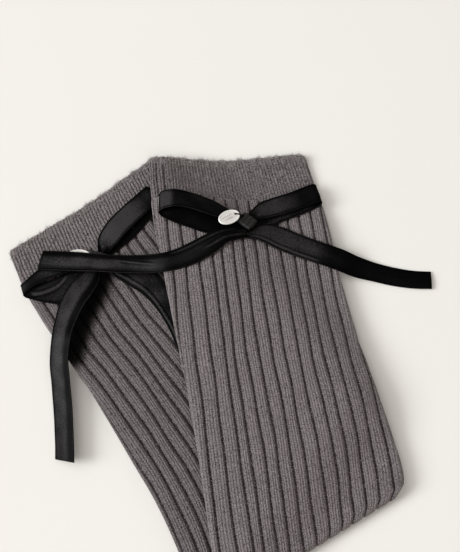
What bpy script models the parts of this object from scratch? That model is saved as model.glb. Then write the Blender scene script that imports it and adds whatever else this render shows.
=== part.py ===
"""A pair of knee-high ribbed socks, folded and laid one over the other, each with a satin bow at its cuff.

Tables are in millimetres on the surface that the socks lie on: x to the right, y away from the viewer,
z up. The right-hand sock lies in front, over the edge of the back one.
"""

import math

import bmesh
import bpy
from mathutils import Matrix, Vector

MM = 0.001
COLLECTION = "knee_high_socks"
# The table point that becomes the model's own origin: the middle of everything, on the surface.
CENTRE = Vector((-5.86, -53.87, 0.0))

# Knit: a flattened tube, and the height of its wide ribs.
CLOTH_GAP = 0.3
LAYER_GAP = 0.6
TUBE_THICK = 3.6
WALL = 1.3
FOLD_RADIUS = (TUBE_THICK + LAYER_GAP) / 2
STACK_THICK = 2 * TUBE_THICK + LAYER_GAP
RIB_HEIGHT = 0.8
RIB_SHOULDER = 0.15
# The ribs fade out where the knit rolls over the tube's side edges, and as it turns round the fold.
RIB_WRAP = 0.6
RIBS_END_TURN = 130.0
# The middle of the cuff's edge sags this far, towards the foot.
CUFF_DIP = 1.8
CUFF_POINTS = 36

# The leg rises from the surface on to the foot folded under it, over this stretch below the cuff's edge.
RISE_FROM, RISE_TO = 16.0, 58.0
TOE_AT = 62.0
TOE_LENGTH = 22.0
TOE_NARROW = 0.28
FOOT_INSET = 1.2
CORNER_ROUND = 2.4

# How far outside the back sock the front one leaves the surface, and how far inside it is fully up.
DRAPE_OUTSIDE, DRAPE_INSIDE = 34.0, 4.0

# Ribbon, the room that one layer of it takes between the two socks, and the lump over a loop's end
# there: x, y, radius, height.
RIBBON_THICK = 1.0
RIBBON_CLEAR = 0.35
RIBBON_UNDER = RIBBON_THICK + 2 * RIBBON_CLEAR
LOOP_LUMP = (-43.0, 49.0, 24.0, 2.6)
RIM_REACH = 1.5
RIBBON_COLUMNS = 3
FLOOR_CLEAR = 0.06
KNOT_SIZE = (9.2, 8.8, 4.4)
KNOT_ROUND = 1.5
# Knots and charms follow the slope measured over this reach.
SLOPE_REACH = 3.0

# Charm: an oval plate with a raised rim and a hole near one end.
CHARM_HALF = (7.0, 4.2)
CHARM_THICK = 1.0
CHARM_RIM_HEIGHT = 0.25
CHARM_HOLE_PLACE, CHARM_HOLE_RADIUS = 4.8, 0.8

# Groove positions across the sock's face, 0 at its left edge and 1 at its right, at the fold.
GROOVES = (-0.080, -0.012, 0.061, 0.141, 0.216, 0.271, 0.338, 0.402, 0.470, 0.540,
           0.614, 0.688, 0.757, 0.827, 0.900, 0.974, 1.045)
# Points on the plain back of the tube, in the same measure: 1 is the right edge, 2 the left edge again.
BACK_POINTS = (1.11, 1.18, 1.25, 1.32, 1.39, 1.46, 1.53, 1.60, 1.67, 1.74, 1.81, 1.87)
# Ribs before the first of these measures, or past the second, roll over a side edge somewhere.
SIDE_RIBS = (0.06, 0.90)
# The tube is twisted a little, so near the cuff its ribs stand this far to the right.
TWIST = 0.085
TWIST_SECTIONS = (1.0, 6.5)

# One row for each section of a sock, cuff edge first, the outer edge of the fold last.
# Columns: left x, left y, right x, right y.
FRONT_SECTIONS = (
    (-47.8, 71.0, 44.0, 75.5),
    (-45.4, 43.0, 52.5, 46.5),
    (-42.4, 20.5, 57.8, 23.5),
    (-37.2, -3.5, 62.3, -1.0),
    (-32.0, -28.5, 69.2, -29.0),
    (-26.8, -54.5, 76.4, -54.5),
    (-21.9, -80.0, 83.8, -79.0),
    (-16.9, -106.0, 90.8, -101.0),
    (-10.8, -146.0, 94.2, -117.0),
    (-4.4, -186.0, 93.6, -127.4),
)
BACK_SECTIONS = (
    (-128.6, 14.0, -43.5, 75.0),
    (-117.6, -10.5, -30.0, 50.5),
    (-106.6, -28.5, -15.5, 30.0),
    (-94.0, -46.5, -1.5, 12.5),
    (-80.8, -65.5, 13.0, -6.5),
    (-67.1, -86.2, 28.0, -26.0),
    (-53.0, -109.0, 42.5, -45.0),
    (-40.0, -130.5, 55.0, -61.5),
    (-27.6, -156.0, 62.5, -71.5),
    (-16.0, -186.0, 65.5, -79.0),
)
# Where the leg's rings lie on the face, in sections from the cuff, and how many of them line the hollow.
FACE_STATIONS = (1.0, 1.5, 2.0, 2.5, 3.0, 3.5, 4.0, 5.0, 6.0, 6.7, 7.4, 8.1)
HOLLOW_STATIONS = FACE_STATIONS[:8]
FOLD_TURNS = (36, 72, 108, 144)
# The foot's last rings, in sections before its toe.
TOE_STATIONS = (0.6, 0.3, 0.1, 0.0)
TOE_SEARCH_STEP = 0.02

# One row for each place along a ribbon. Columns: x, y, what it lies on, rise above that, width,
# heading of the width in degrees, tilt of the width in degrees.
RIBBONS = {
    "front_bow_loop_left": (
        (5.0, 30.2, "front", 2.2, 5.5, 58, 0),
        (-3.6, 32.2, "front", 3.2, 8.5, 72, 0),
        (-13.0, 36.0, "front", 4.0, 10.6, 74, 0),
        (-22.0, 39.3, "front", 4.0, 10.8, 80, 0),
        (-31.0, 41.0, "front", 3.6, 11.2, 88, 0),
        (-38.2, 40.4, "front", 2.6, 12.2, 91, 0),
        (-40.6, 38.2, "front", 1.4, 12.0, 91, 0),
        (-38.2, 35.8, "front", 0.2, 11.6, 87, 0),
        (-30.0, 31.5, "front", 0.15, 11.0, 74, 0),
        (-21.0, 27.9, "front", 0.0, 11.0, 68, 0),
        (-12.0, 25.6, "front", 0.3, 8.5, 78, 0),
        (-4.5, 25.9, "front", 0.9, 5.6, 95, 0),
        (2.5, 27.0, "front", 0.9, 3.6, 92, 0),
    ),
    "front_bow_loop_right": (
        (12.5, 31.9, "front", 2.3, 6.0, 138, 0),
        (19.8, 37.0, "front", 2.8, 11.2, 118, 0),
        (28.0, 39.8, "front", 2.2, 12.0, 110, 0),
        (36.8, 42.6, "front", 1.8, 12.2, 108, 0),
        (45.0, 45.6, "front", 1.9, 12.3, 105, 0),
        (50.4, 47.3, "front", 2.2, 12.2, 104, 0),
        (52.2, 46.4, "front", 1.1, 11.8, 104, 0),
        (50.2, 44.5, "front", 0.0, 11.4, 105, 0),
        (40.0, 40.4, "front", 0.0, 11.0, 109, 0),
        (29.0, 35.9, "front", 0.0, 11.0, 112, 0),
        (20.6, 32.4, "front", 0.3, 8.0, 118, 0),
        (13.4, 30.7, "front", 0.7, 4.6, 136, 0),
    ),
    "front_bow_tail_left": (
        (6.0, 23.7, "front", 0.8, 5.0, 126, 0),
        (-3.2, 16.8, "front", 1.3, 8.8, 125, 0),
        (-11.0, 11.2, "front", 1.4, 12.2, 125, 0),
        (-20.0, 7.0, "front", 0.6, 13.0, 118, 0),
        (-29.0, 3.6, "front", 0.2, 12.0, 108, 0),
        (-37.0, 2.0, "front", 0.2, 11.5, 97, 0),
        (-46.0, 2.2, "back", 6.6, 11.5, 90, 0),
        (-56.0, 2.6, "back", 5.0, 11.2, 88, 0),
        (-66.0, 3.0, "back", 5.2, 11.2, 86, 0),
        (-76.0, 3.8, "back", 5.6, 11.4, 85, 0),
        (-87.0, 4.8, "back", 5.4, 12.0, 84, 0),
        (-98.0, 5.8, "back", 4.8, 12.2, 84, 0),
        (-109.0, 6.7, "back", 4.0, 11.8, 84, 0),
    ),
    "front_bow_tail_right": (
        (12.6, 23.1, "front", 1.0, 6.0, 52, 0),
        (19.4, 21.0, "front", 1.3, 10.0, 64, 0),
        (28.5, 18.2, "front", 1.0, 12.2, 68, 0),
        (37.0, 15.2, "front", 0.8, 12.6, 68, 0),
        (46.0, 12.4, "front", 0.7, 12.6, 68, 0),
        (55.0, 9.9, "front", 0.8, 12.2, 70, 0),
        (64.0, 7.2, "floor", 8.1, 12.0, 72, 0),
        (74.0, 4.2, "floor", 3.4, 11.8, 73, 0),
        (84.5, 1.5, "floor", 1.4, 11.4, 76, 0),
        (95.0, -0.8, "floor", 0.6, 11.2, 80, 0),
        (106.0, -2.5, "floor", 0.6, 11.0, 84, -3),
        (116.4, -3.0, "floor", 1.0, 10.8, 90, -6),
    ),
    "back_bow_loop_left": (
        (-80.35, 8.2, "back", 1.6, 5.0, 76, 0),
        (-87.6, 5.6, "back", 1.8, 8.0, 98, 0),
        (-97.5, 1.9, "back", 1.8, 10.4, 112, 0),
        (-107.0, -2.8, "back", 2.4, 10.4, 118, 4),
        (-115.0, -9.0, "back", 2.7, 10.0, 129, 6),
        (-116.8, -11.2, "back", 1.5, 9.8, 130, 5),
        (-113.0, -11.8, "back", 0.3, 10.0, 127, 2),
        (-104.5, -12.8, "back", 0.0, 11.4, 117, 0),
        (-96.0, -10.8, "back", 0.0, 12.0, 105, 0),
        (-88.0, -4.6, "back", 0.0, 8.5, 118, 0),
        (-82.5, 2.3, "back", 0.3, 4.4, 124, 0),
    ),
    "back_bow_loop_right": (
        (-73.55, 11.35, "back", 1.8, 5.5, 164, 0),
        (-71.2, 19.4, "back", 2.4, 10.8, 164, 0),
        (-66.0, 27.8, "back", 2.8, 12.0, 146, 0),
        (-59.0, 35.6, "back", 2.5, 12.0, 137, 0),
        (-51.5, 43.0, "back", 1.9, 12.0, 135, 0),
        (-46.0, 48.0, "back", 2.3, 12.0, 134, 0),
        (-43.8, 48.2, "back", 1.2, 11.9, 134, 0),
        (-45.6, 45.2, "back", 0.0, 11.4, 134, 0),
        (-51.8, 35.0, "back", 0.0, 11.0, 136, 0),
        (-59.4, 25.4, "back", 0.0, 11.0, 141, 0),
        (-66.4, 16.6, "back", 0.2, 7.6, 150, 0),
        (-71.4, 10.6, "back", 0.4, 4.0, 158, 0),
    ),
    "back_bow_tail_down": (
        (-76.9, 2.0, "back", 1.4, 5.5, 158, 0),
        (-81.4, -4.4, "back", 1.8, 10.5, 156, 0),
        (-86.6, -12.0, "back", 1.6, 13.6, 159, 0),
        (-90.8, -21.2, "back", 1.3, 12.6, 165, 0),
        (-93.4, -31.0, "back", 0.6, 12.0, 171, 0),
        (-94.8, -42.0, "back", 1.5, 11.2, 177, 0),
        (-95.6, -53.5, "floor", 7.1, 11.0, 181, -4),
        (-94.2, -66.0, "floor", 5.4, 11.0, 184, -14),
        (-92.8, -79.0, "floor", 3.9, 11.0, 185, -22),
        (-91.6, -93.5, "floor", 2.9, 11.0, 184, -26),
        (-90.7, -108.5, "floor", 2.4, 11.0, 183, -26),
    ),
    "back_bow_tail_right": (
        (-70.6, 4.4, "back", 0.9, 5.5, 64, 0),
        (-64.2, 0.8, "back", 0.5, 9.2, 62, 0),
        (-56.0, -3.4, "back", 0.2, 11.0, 62, 0),
        (-48.0, -8.4, "back", 0.0, 11.2, 56, 0),
        (-41.0, -14.8, "back", 0.0, 11.2, 46, 0),
        (-34.8, -23.0, "back", 0.0, 11.0, 38, 0),
        (-29.4, -32.5, "back", 0.0, 11.0, 30, 0),
        (-25.0, -43.0, "back", 0.0, 11.0, 25, 0),
        (-21.0, -54.0, "back", 0.0, 11.0, 22, 0),
    ),
}
# One row for each knot and charm. Columns: x, y, what it lies on, rise above that, turn in degrees.
KNOTS = {
    "front_bow_knot": (9.0, 27.2, "front", 0.0, -38),
    "back_bow_knot": (-75.2, 6.4, "back", 0.0, -20),
}
CHARMS = {
    "front_charm": (-1.8, 28.6, "front", 4.5, 30),
    "back_charm": (-87.2, 8.6, "back", 3.75, 4),
}


def step(value):
    """Smooth rise from 0 to 1."""
    t = min(max(value, 0.0), 1.0)
    return t * t * (3 - 2 * t)


def spline(rows, t):
    """Point t of the smooth curve through equally spaced rows of numbers, t from 0 to len(rows) - 1."""
    last = len(rows) - 1
    i = min(max(int(math.floor(t)), 0), last - 1)
    f = t - i
    before = rows[i - 1] if i else [2 * a - b for a, b in zip(rows[0], rows[1])]
    after = rows[i + 2] if i + 2 <= last else [2 * a - b for a, b in zip(rows[last], rows[last - 1])]
    return [
        b + 0.5 * f * (c - a + f * (2 * a - 5 * b + 4 * c - d + f * (3 * (b - c) + d - a)))
        for a, b, c, d in zip(before, rows[i], rows[i + 1], after)
    ]


class Sock:
    """One folded sock: its outline on the surface and the height of everything in it."""

    def __init__(self, sections, carrier=None):
        self.sections = sections
        self.carrier = carrier
        left, right = Vector(sections[0][:2]), Vector(sections[0][2:])
        self.cuff_point = left
        self.leg_direction = Vector((right.y - left.y, left.x - right.x)).normalized()
        down = [Vector(row[:2]) for row in sections]
        back_up = [Vector(row[2:]) for row in reversed(sections)]
        self.outline = down + back_up
        self.last = len(sections) - 1

    def along(self, x, y):
        """Distance from the line of the cuff's edge towards the foot."""
        return (Vector((x, y)) - self.cuff_point).dot(self.leg_direction)

    def rise(self, x, y):
        """How far the leg stands above what the whole sock lies on, over the foot folded under it."""
        return 2 * FOLD_RADIUS * step((self.along(x, y) - RISE_FROM) / (RISE_TO - RISE_FROM))

    def inside(self, x, y):
        """Distance from the outline, positive inside it."""
        point = Vector((x, y))
        nearest = math.inf
        within = False
        for a, b in zip(self.outline, self.outline[1:] + self.outline[:1]):
            edge = b - a
            t = min(max((point - a).dot(edge) / edge.length_squared, 0), 1)
            nearest = min(nearest, (point - a - edge * t).length)
            if (a.y > y) != (b.y > y) and x < a.x + edge.x * (y - a.y) / edge.y:
                within = not within
        return nearest if within else -nearest

    def base(self, x, y):
        """Height of what this sock lies on: the surface, or the other sock and its ribbon."""
        if self.carrier is None:
            return 0.0
        carried = (self.carrier.inside(x, y) + DRAPE_OUTSIDE) / (DRAPE_OUTSIDE + DRAPE_INSIDE)
        lump_x, lump_y, lump_radius, lump_height = LOOP_LUMP
        lump = lump_height * step(2 * (1 - math.hypot(x - lump_x, y - lump_y) / lump_radius))
        return step(carried) * (self.carrier.top(x, y) + RIBBON_UNDER + lump)

    def middle(self, x, y):
        """Height of the middle of the leg's flattened tube."""
        return self.base(x, y) + self.rise(x, y) + TUBE_THICK / 2

    def top(self, x, y):
        """Height of the ribs' crests."""
        return self.middle(x, y) + TUBE_THICK / 2 + RIB_HEIGHT

    def edges(self, t):
        """Left and right edge points of section t."""
        row = spline(self.sections, t)
        return Vector(row[:2]), Vector(row[2:])


def tube_section(measure, width, thick):
    """Place on a flattened tube's outline: across from the left edge, height from its middle, normal.

    The measure runs 0 to 1 from the left edge over the face to the right one, and 1 to 2 back below.
    """
    measure %= 2.0
    side = 1.0 if measure <= 1.0 else -1.0
    radius = thick / 2
    bend = math.pi * radius / 2
    total = width - 2 * radius + 2 * bend
    run = min(measure, 2.0 - measure) * total
    if bend <= run <= total - bend:
        return radius + run - bend, side * radius, (0.0, side)
    on_left = run < bend
    angle = (run if on_left else total - run) / radius
    across = radius * (1 - math.cos(angle))
    up = side * radius * math.sin(angle)
    if on_left:
        return across, up, (-math.cos(angle), side * math.sin(angle))
    return width - across, up, (math.cos(angle), side * math.sin(angle))


def rib_points():
    """Measures round the leg with the height of the knit at each: a groove, then a rib's shoulders.

    A rib that rolls over the tube's side edge has two more points between its shoulders.
    """
    points = []
    for a, b in zip(GROOVES, GROOVES[1:]):
        shares = (RIB_SHOULDER, 1 - RIB_SHOULDER)
        if a < SIDE_RIBS[0] or b > SIDE_RIBS[1]:
            shares = (RIB_SHOULDER, 0.38, 0.62, 1 - RIB_SHOULDER)
        points.append((a, 0.0))
        points.extend((a + (b - a) * share, RIB_HEIGHT) for share in shares)
    points.append((GROOVES[-1], 0.0))
    points.extend((measure, 0.0) for measure in BACK_POINTS)
    return points


def twist_at(t):
    """Twist of the tube at section t, in the measure of its outline."""
    start, end = TWIST_SECTIONS
    return TWIST * (1 - step((t - start) / (end - start)))


def narrowed(edges, inset):
    """An edge pair moved towards each other."""
    left, right = edges
    across = (right - left).normalized()
    return left + across * inset, right - across * inset


def leg_ring(edges, twist, ribs, place):
    """One ring of the leg between two edge points. place turns (point, share across, height) into 3-D."""
    left, right = edges
    width = (right - left).length
    ring = []
    for measure, relief in rib_points():
        across, up, normal = tube_section(measure + twist, width, TUBE_THICK)
        raised = relief * ribs * step(normal[1] + RIB_WRAP)
        share = (across + normal[0] * raised) / width
        ring.append(place(left + (right - left) * share, share, up + normal[1] * raised))
    return ring


def leg_rings(sock):
    """Rings of the whole leg: down the face, round the fold and back under it to the toe."""
    left, right = sock.edges(sock.last)
    before_left, before_right = sock.edges(sock.last - 0.5)
    fold = (right - left).normalized()
    out = Vector((fold.y, -fold.x))
    # How the two edges run on, for each millimetre square to the fold.
    run_left = (left - before_left) / (left - before_left).dot(out)
    run_right = (right - before_right) / (right - before_right).dot(out)
    inset = STACK_THICK / 2 + RIB_HEIGHT
    axis = (left - run_left * inset, right - run_right * inset)

    def on_face(point, _share, up):
        return Vector((point.x, point.y, sock.middle(point.x, point.y) + up))

    def on_foot(point, _share, up):
        return Vector((point.x, point.y, sock.base(point.x, point.y) + TUBE_THICK / 2 - up))

    rings = []
    for t in FACE_STATIONS:
        edges = sock.edges(t)
        if t == FACE_STATIONS[0]:
            edges = [edge + sock.leg_direction * CLOTH_GAP for edge in edges]
        rings.append(leg_ring(edges, twist_at(t), 1.0, on_face))
    rings.append(leg_ring(axis, 0.0, 1.0, on_face))

    for degrees in FOLD_TURNS:
        turn = math.radians(degrees)

        def round_fold(point, share, up, turn=turn):
            run_on = run_left.lerp(run_right, min(max(share, 0), 1))
            point = point + run_on * (math.sin(turn) * (FOLD_RADIUS + up))
            lift = STACK_THICK / 2 + math.cos(turn) * (FOLD_RADIUS + up)
            return Vector((point.x, point.y, sock.base(point.x, point.y) + lift))

        inward = FOOT_INSET * degrees / 180 + CORNER_ROUND * math.sin(turn)
        rings.append(leg_ring(narrowed(axis, inward), 0.0, 1 - step(degrees / RIBS_END_TURN), round_fold))

    rings.append(leg_ring(narrowed(axis, FOOT_INSET), 0.0, 0.0, on_foot))
    for t in foot_stations(sock):
        edges = sock.edges(t)
        to_toe = sock.along(*(edges[0].lerp(edges[1], 0.5))) - TOE_AT
        rounding = max(0.0, 1 - to_toe / TOE_LENGTH) ** 2
        inward = FOOT_INSET + TOE_NARROW * (edges[1] - edges[0]).length * rounding
        rings.append(leg_ring(narrowed(edges, inward), 0.0, 0.0, on_foot))
    return rings


def foot_stations(sock):
    """Sections of the outline that the hidden foot passes under, from the fold to the toe."""
    toe = FACE_STATIONS[0]
    while sock.along(*(sock.edges(toe)[0].lerp(sock.edges(toe)[1], 0.5))) < TOE_AT:
        toe += TOE_SEARCH_STEP
    rounded = [toe + ahead for ahead in TOE_STATIONS]
    return [t for t in reversed(FACE_STATIONS) if t > rounded[0] + TOE_STATIONS[1]] + rounded


def hollow_rings(sock):
    """Rings of the leg's flat hollow, from the seam downwards."""
    rings = []
    for t in HOLLOW_STATIONS:
        edges = sock.edges(t)
        if t == HOLLOW_STATIONS[0]:
            edges = [edge + sock.leg_direction * CLOTH_GAP for edge in edges]
        left, right = narrowed(edges, WALL)
        width = (right - left).length
        ring = []
        for measure, _relief in rib_points():
            across, up, _normal = tube_section(measure + twist_at(t), width, TUBE_THICK - 2 * WALL)
            point = left.lerp(right, across / width)
            ring.append(Vector((point.x, point.y, sock.middle(point.x, point.y) + up)))
        rings.append(ring)
    return rings


def cuff_rings(sock):
    """Rings of the cuff's band: up its outside, over the rolled lip and down its inside.

    Each pair is a section, 0 at the edge and 1 at the seam, and how far the ring is inset.
    """
    outside = ((1.0, 0.0), (0.66, 0.0), (0.33, 0.0), (0.05, 0.1), (0.0, 0.6))
    inside = ((0.0, WALL - 0.6), (0.05, WALL - 0.1), (0.33, WALL), (0.66, WALL), (1.0, WALL))
    rings = []
    for t, inset in outside + inside:
        left, right = narrowed(sock.edges(t), inset)
        width = (right - left).length
        ring = []
        for k in range(CUFF_POINTS):
            across, up, _normal = tube_section(2.0 * k / CUFF_POINTS, width, TUBE_THICK - 2 * inset)
            dip = CUFF_DIP * (1 - t) * math.sin(math.pi * across / width) ** 2
            point = left.lerp(right, across / width) + sock.leg_direction * dip
            ring.append(Vector((point.x, point.y, sock.middle(point.x, point.y) + up)))
        rings.append(ring)
    return rings


def height_on(socks, carrier, x, y):
    """Height at which a thing clear of its carrier starts."""
    if carrier == "floor":
        return FLOOR_CLEAR
    return socks[carrier].top(x, y) + RIBBON_CLEAR


def frame_on(socks, carrier, x, y, turn):
    """A frame standing on the carrier, its z square to the slope there, turned about that by degrees."""
    reach = SLOPE_REACH
    rise_x = height_on(socks, carrier, x + reach, y) - height_on(socks, carrier, x - reach, y)
    rise_y = height_on(socks, carrier, x, y + reach) - height_on(socks, carrier, x, y - reach)
    upright = Vector((-rise_x, -rise_y, 2 * reach))
    lean = Vector((0, 0, 1)).rotation_difference(upright).to_matrix().to_4x4()
    place = Matrix.Translation((x, y, height_on(socks, carrier, x, y)))
    return place @ lean @ Matrix.Rotation(math.radians(turn), 4, "Z")


def ribbon_rows(socks, rows):
    """The lower and the upper edge of a ribbon at each of its rows, following what it lies on."""
    edges = []
    for x, y, carrier, rise, width, heading, tilt in rows:
        heading, tilt = math.radians(heading), math.radians(tilt)
        row = []
        for side in (-width / 2, width / 2):
            px = x + side * math.cos(tilt) * math.cos(heading)
            py = y + side * math.cos(tilt) * math.sin(heading)
            pz = height_on(socks, carrier, px, py) + rise + RIBBON_THICK / 2 + side * math.sin(tilt)
            row.extend((px, py, pz))
        edges.append(row)
    return edges


def ribbon_sheet(name, rows, carriers):
    """The ribbon's middle surface, two steps to each row, never under the tops of its carriers."""
    bm = bmesh.new()
    lines = []
    for i in range(2 * (len(rows) - 1) + 1):
        row = spline(rows, i / 2)
        lower, upper = Vector(row[:3]), Vector(row[3:])
        line = []
        for k in range(RIBBON_COLUMNS):
            point = lower.lerp(upper, k / (RIBBON_COLUMNS - 1))
            for carrier in carriers:
                if carrier.inside(point.x, point.y) > -RIM_REACH:
                    floor = carrier.top(point.x, point.y) + RIBBON_CLEAR + RIBBON_THICK / 2
                    point.z = max(point.z, floor)
            line.append(bm.verts.new(point))
        lines.append(line)
    for line, following in zip(lines, lines[1:]):
        for k in range(RIBBON_COLUMNS - 1):
            bm.faces.new((line[k], line[k + 1], following[k + 1], following[k]))
    mesh = bpy.data.meshes.new(name)
    bm.to_mesh(mesh)
    bm.free()
    return mesh


def material(name, colour, roughness, metallic=0.0):
    """A Principled material."""
    made = bpy.data.materials.new(name)
    made.use_nodes = True
    shader = made.node_tree.nodes["Principled BSDF"]
    shader.inputs["Base Color"].default_value = (*colour, 1.0)
    shader.inputs["Roughness"].default_value = roughness
    shader.inputs["Metallic"].default_value = metallic
    made.diffuse_color = (*colour, 1.0)
    return made


def add_object(name, mesh, collection, finish):
    """Put a finished mesh, given in table millimetres, into the model in metres."""
    mesh.transform(Matrix.Scale(MM, 4) @ Matrix.Translation(-CENTRE))
    mesh.shade_smooth()
    mesh.set_sharp_from_angle(angle=math.radians(50))
    mesh.materials.append(finish)
    made = bpy.data.objects.new(name, mesh)
    collection.objects.link(made)
    return made


def cap(bm, ring):
    """Close the end of a flat tube with a strip of triangles, from one side edge to the other."""
    axis = max((vert.co - ring[0].co for vert in ring), key=lambda reach: reach.length)
    along = [vert.co.dot(axis) for vert in ring]
    low, high = along.index(min(along)), along.index(max(along))
    count = len(ring)
    upper = [(low + k) % count for k in range((high - low) % count + 1)]
    lower = [(low - k) % count for k in range((low - high) % count + 1)]
    i = j = 0
    while i < len(upper) - 1 or j < len(lower) - 1:
        on_upper = j == len(lower) - 1 or (
            i < len(upper) - 1 and along[upper[i + 1]] < along[lower[j + 1]])
        corner = upper[i + 1] if on_upper else lower[j + 1]
        if len({upper[i], lower[j], corner}) == 3:
            bm.faces.new((ring[upper[i]], ring[lower[j]], ring[corner]))
        i, j = (i + 1, j) if on_upper else (i, j + 1)


def loft(name, rings, closed):
    """A mesh through rings of equally many points. closed joins the last ring to the first one."""
    bm = bmesh.new()
    verts = [[bm.verts.new(point) for point in ring] for ring in rings]
    pairs = list(zip(verts, verts[1:]))
    if closed:
        pairs.append((verts[-1], verts[0]))
    for ring, following in pairs:
        for i, vert in enumerate(ring):
            j = (i + 1) % len(ring)
            bm.faces.new((vert, ring[j], following[j], following[i]))
    if not closed:
        cap(bm, verts[0])
        cap(bm, verts[-1])
    bmesh.ops.triangulate(bm, faces=bm.faces)
    bmesh.ops.recalc_face_normals(bm, faces=bm.faces)
    mesh = bpy.data.meshes.new(name)
    bm.to_mesh(mesh)
    bm.free()
    return mesh


def add_knot(name, row, socks, collection, finish):
    """A knot: a small rounded pad of gathered ribbon."""
    x, y, carrier, rise, turn = row
    bm = bmesh.new()
    bmesh.ops.create_cube(bm, size=1.0, matrix=Matrix.Diagonal((*KNOT_SIZE, 1.0)))
    bmesh.ops.bevel(bm, geom=bm.edges, offset=KNOT_ROUND, segments=3, profile=0.5, affect="EDGES")
    bm.transform(frame_on(socks, carrier, x, y, turn) @ Matrix.Translation((0, 0, rise + KNOT_SIZE[2] / 2)))
    mesh = bpy.data.meshes.new(name)
    bm.to_mesh(mesh)
    bm.free()
    add_object(name, mesh, collection, finish)


def charm_profile():
    """Half section of the charm, at unit radius across and real height: back first, face last."""
    low, high = -CHARM_THICK / 2, CHARM_THICK / 2
    face = high - CHARM_RIM_HEIGHT
    side = ((0.0, low), (0.95, low), (1.0, low + 0.2), (1.0, high - 0.15))
    rim = ((0.96, high), (0.86, high), (0.80, face), (0.0, face))
    return side + rim


def add_charm(name, row, socks, collection, cutters, finish):
    """An oval plate with a raised rim, turned as a round one and stretched, with a hole at one end."""
    x, y, carrier, rise, turn = row
    bm = bmesh.new()
    points = [bm.verts.new((radius, 0.0, up)) for radius, up in charm_profile()]
    edges = [bm.edges.new(pair) for pair in zip(points, points[1:])]
    bmesh.ops.spin(bm, geom=points + edges, angle=2 * math.pi, steps=28, axis=(0, 0, 1), cent=(0, 0, 0))
    bmesh.ops.remove_doubles(bm, verts=bm.verts, dist=1e-4)
    bm.transform(Matrix.Diagonal((*CHARM_HALF, 1.0, 1.0)))
    bmesh.ops.recalc_face_normals(bm, faces=bm.faces)
    place = frame_on(socks, carrier, x, y, turn) @ Matrix.Translation((0, 0, rise + CHARM_THICK / 2))
    bm.transform(place)
    mesh = bpy.data.meshes.new(name)
    bm.to_mesh(mesh)
    bm.free()
    charm = add_object(name, mesh, collection, finish)

    drill = bmesh.new()
    bmesh.ops.create_cone(
        drill, cap_ends=True, segments=16, radius1=CHARM_HOLE_RADIUS, radius2=CHARM_HOLE_RADIUS,
        depth=4 * CHARM_THICK, matrix=place @ Matrix.Translation((CHARM_HOLE_PLACE, 0, 0)))
    drill_mesh = bpy.data.meshes.new(f"{name}_drill")
    drill.to_mesh(drill_mesh)
    drill.free()
    cutter = add_object(f"{name}_drill", drill_mesh, cutters, finish)
    cutter.hide_render = True
    cutter.display_type = "WIRE"
    hole = charm.modifiers.new("hole", "BOOLEAN")
    hole.operation = "DIFFERENCE"
    hole.object = cutter


def main():
    for thing in list(bpy.data.objects):
        bpy.data.objects.remove(thing)
    collection = bpy.data.collections.new(COLLECTION)
    cutters = bpy.data.collections.new(f"{COLLECTION}_cutters")
    for made in (collection, cutters):
        bpy.context.scene.collection.children.link(made)

    back = Sock(BACK_SECTIONS)
    socks = {"back": back, "front": Sock(FRONT_SECTIONS, carrier=back)}
    for name, sock in socks.items():
        knit = material(f"{name}_knit", (0.125, 0.108, 0.108), 0.95)
        outer = leg_rings(sock)
        leg = loft(f"{name}_leg", list(reversed(hollow_rings(sock))) + outer, closed=False)
        add_object(f"{name}_leg", leg, collection, knit)
        cuff = loft(f"{name}_cuff", cuff_rings(sock), closed=True)
        add_object(f"{name}_cuff", cuff, collection, knit.copy())
    for name, rows in RIBBONS.items():
        satin = material(f"{name}_satin", (0.012, 0.012, 0.014), 0.45)
        carriers = list(socks.values()) if name.startswith("front") else [back]
        sheet = ribbon_sheet(name, ribbon_rows(socks, rows), carriers)
        ribbon = add_object(name, sheet, collection, satin)
        solid = ribbon.modifiers.new("thickness", "SOLIDIFY")
        solid.thickness = RIBBON_THICK * MM
        solid.offset = 0.0
    for name, row in KNOTS.items():
        add_knot(name, row, socks, collection, material(f"{name}_satin", (0.012, 0.012, 0.014), 0.45))
    for name, row in CHARMS.items():
        silver = material(f"{name}_metal", (0.75, 0.72, 0.68), 0.3, metallic=1.0)
        add_charm(name, row, socks, collection, cutters, silver)


main()
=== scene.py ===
"""Looks of a pair of folded knee-high socks: ribbed knit, satin bows, metal charms, light and camera.

Tables are in millimetres on the surface that the socks lie on: x to the right, y away from the viewer,
z up. The tables that the solids are made from stand here again, because every form follows its solid.
Where they differ they follow the photograph: the raised tail of the back bow, the hidden layers of
the loops, the starts of the tails, the ends of two loops, and the size and turn of knots and charms.
"""

import math

import bmesh
import bpy
import numpy as np
from mathutils import Matrix, Vector


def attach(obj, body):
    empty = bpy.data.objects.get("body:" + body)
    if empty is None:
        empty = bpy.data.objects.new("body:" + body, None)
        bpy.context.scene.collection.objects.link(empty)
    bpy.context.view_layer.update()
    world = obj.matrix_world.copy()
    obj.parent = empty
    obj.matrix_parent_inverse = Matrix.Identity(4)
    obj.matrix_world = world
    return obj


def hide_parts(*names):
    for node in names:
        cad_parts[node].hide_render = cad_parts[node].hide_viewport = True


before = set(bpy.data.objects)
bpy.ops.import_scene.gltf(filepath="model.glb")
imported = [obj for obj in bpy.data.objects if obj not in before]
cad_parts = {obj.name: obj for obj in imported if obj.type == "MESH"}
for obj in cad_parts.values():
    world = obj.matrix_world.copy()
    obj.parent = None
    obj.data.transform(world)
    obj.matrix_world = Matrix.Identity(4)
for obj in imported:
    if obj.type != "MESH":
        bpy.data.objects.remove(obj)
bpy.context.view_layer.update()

MM = 0.001
CENTRE = (-5.86, -53.87, 0.0)
TO_MODEL = Matrix.Scale(MM, 4) @ Matrix.Translation(-Vector(CENTRE))

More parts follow.
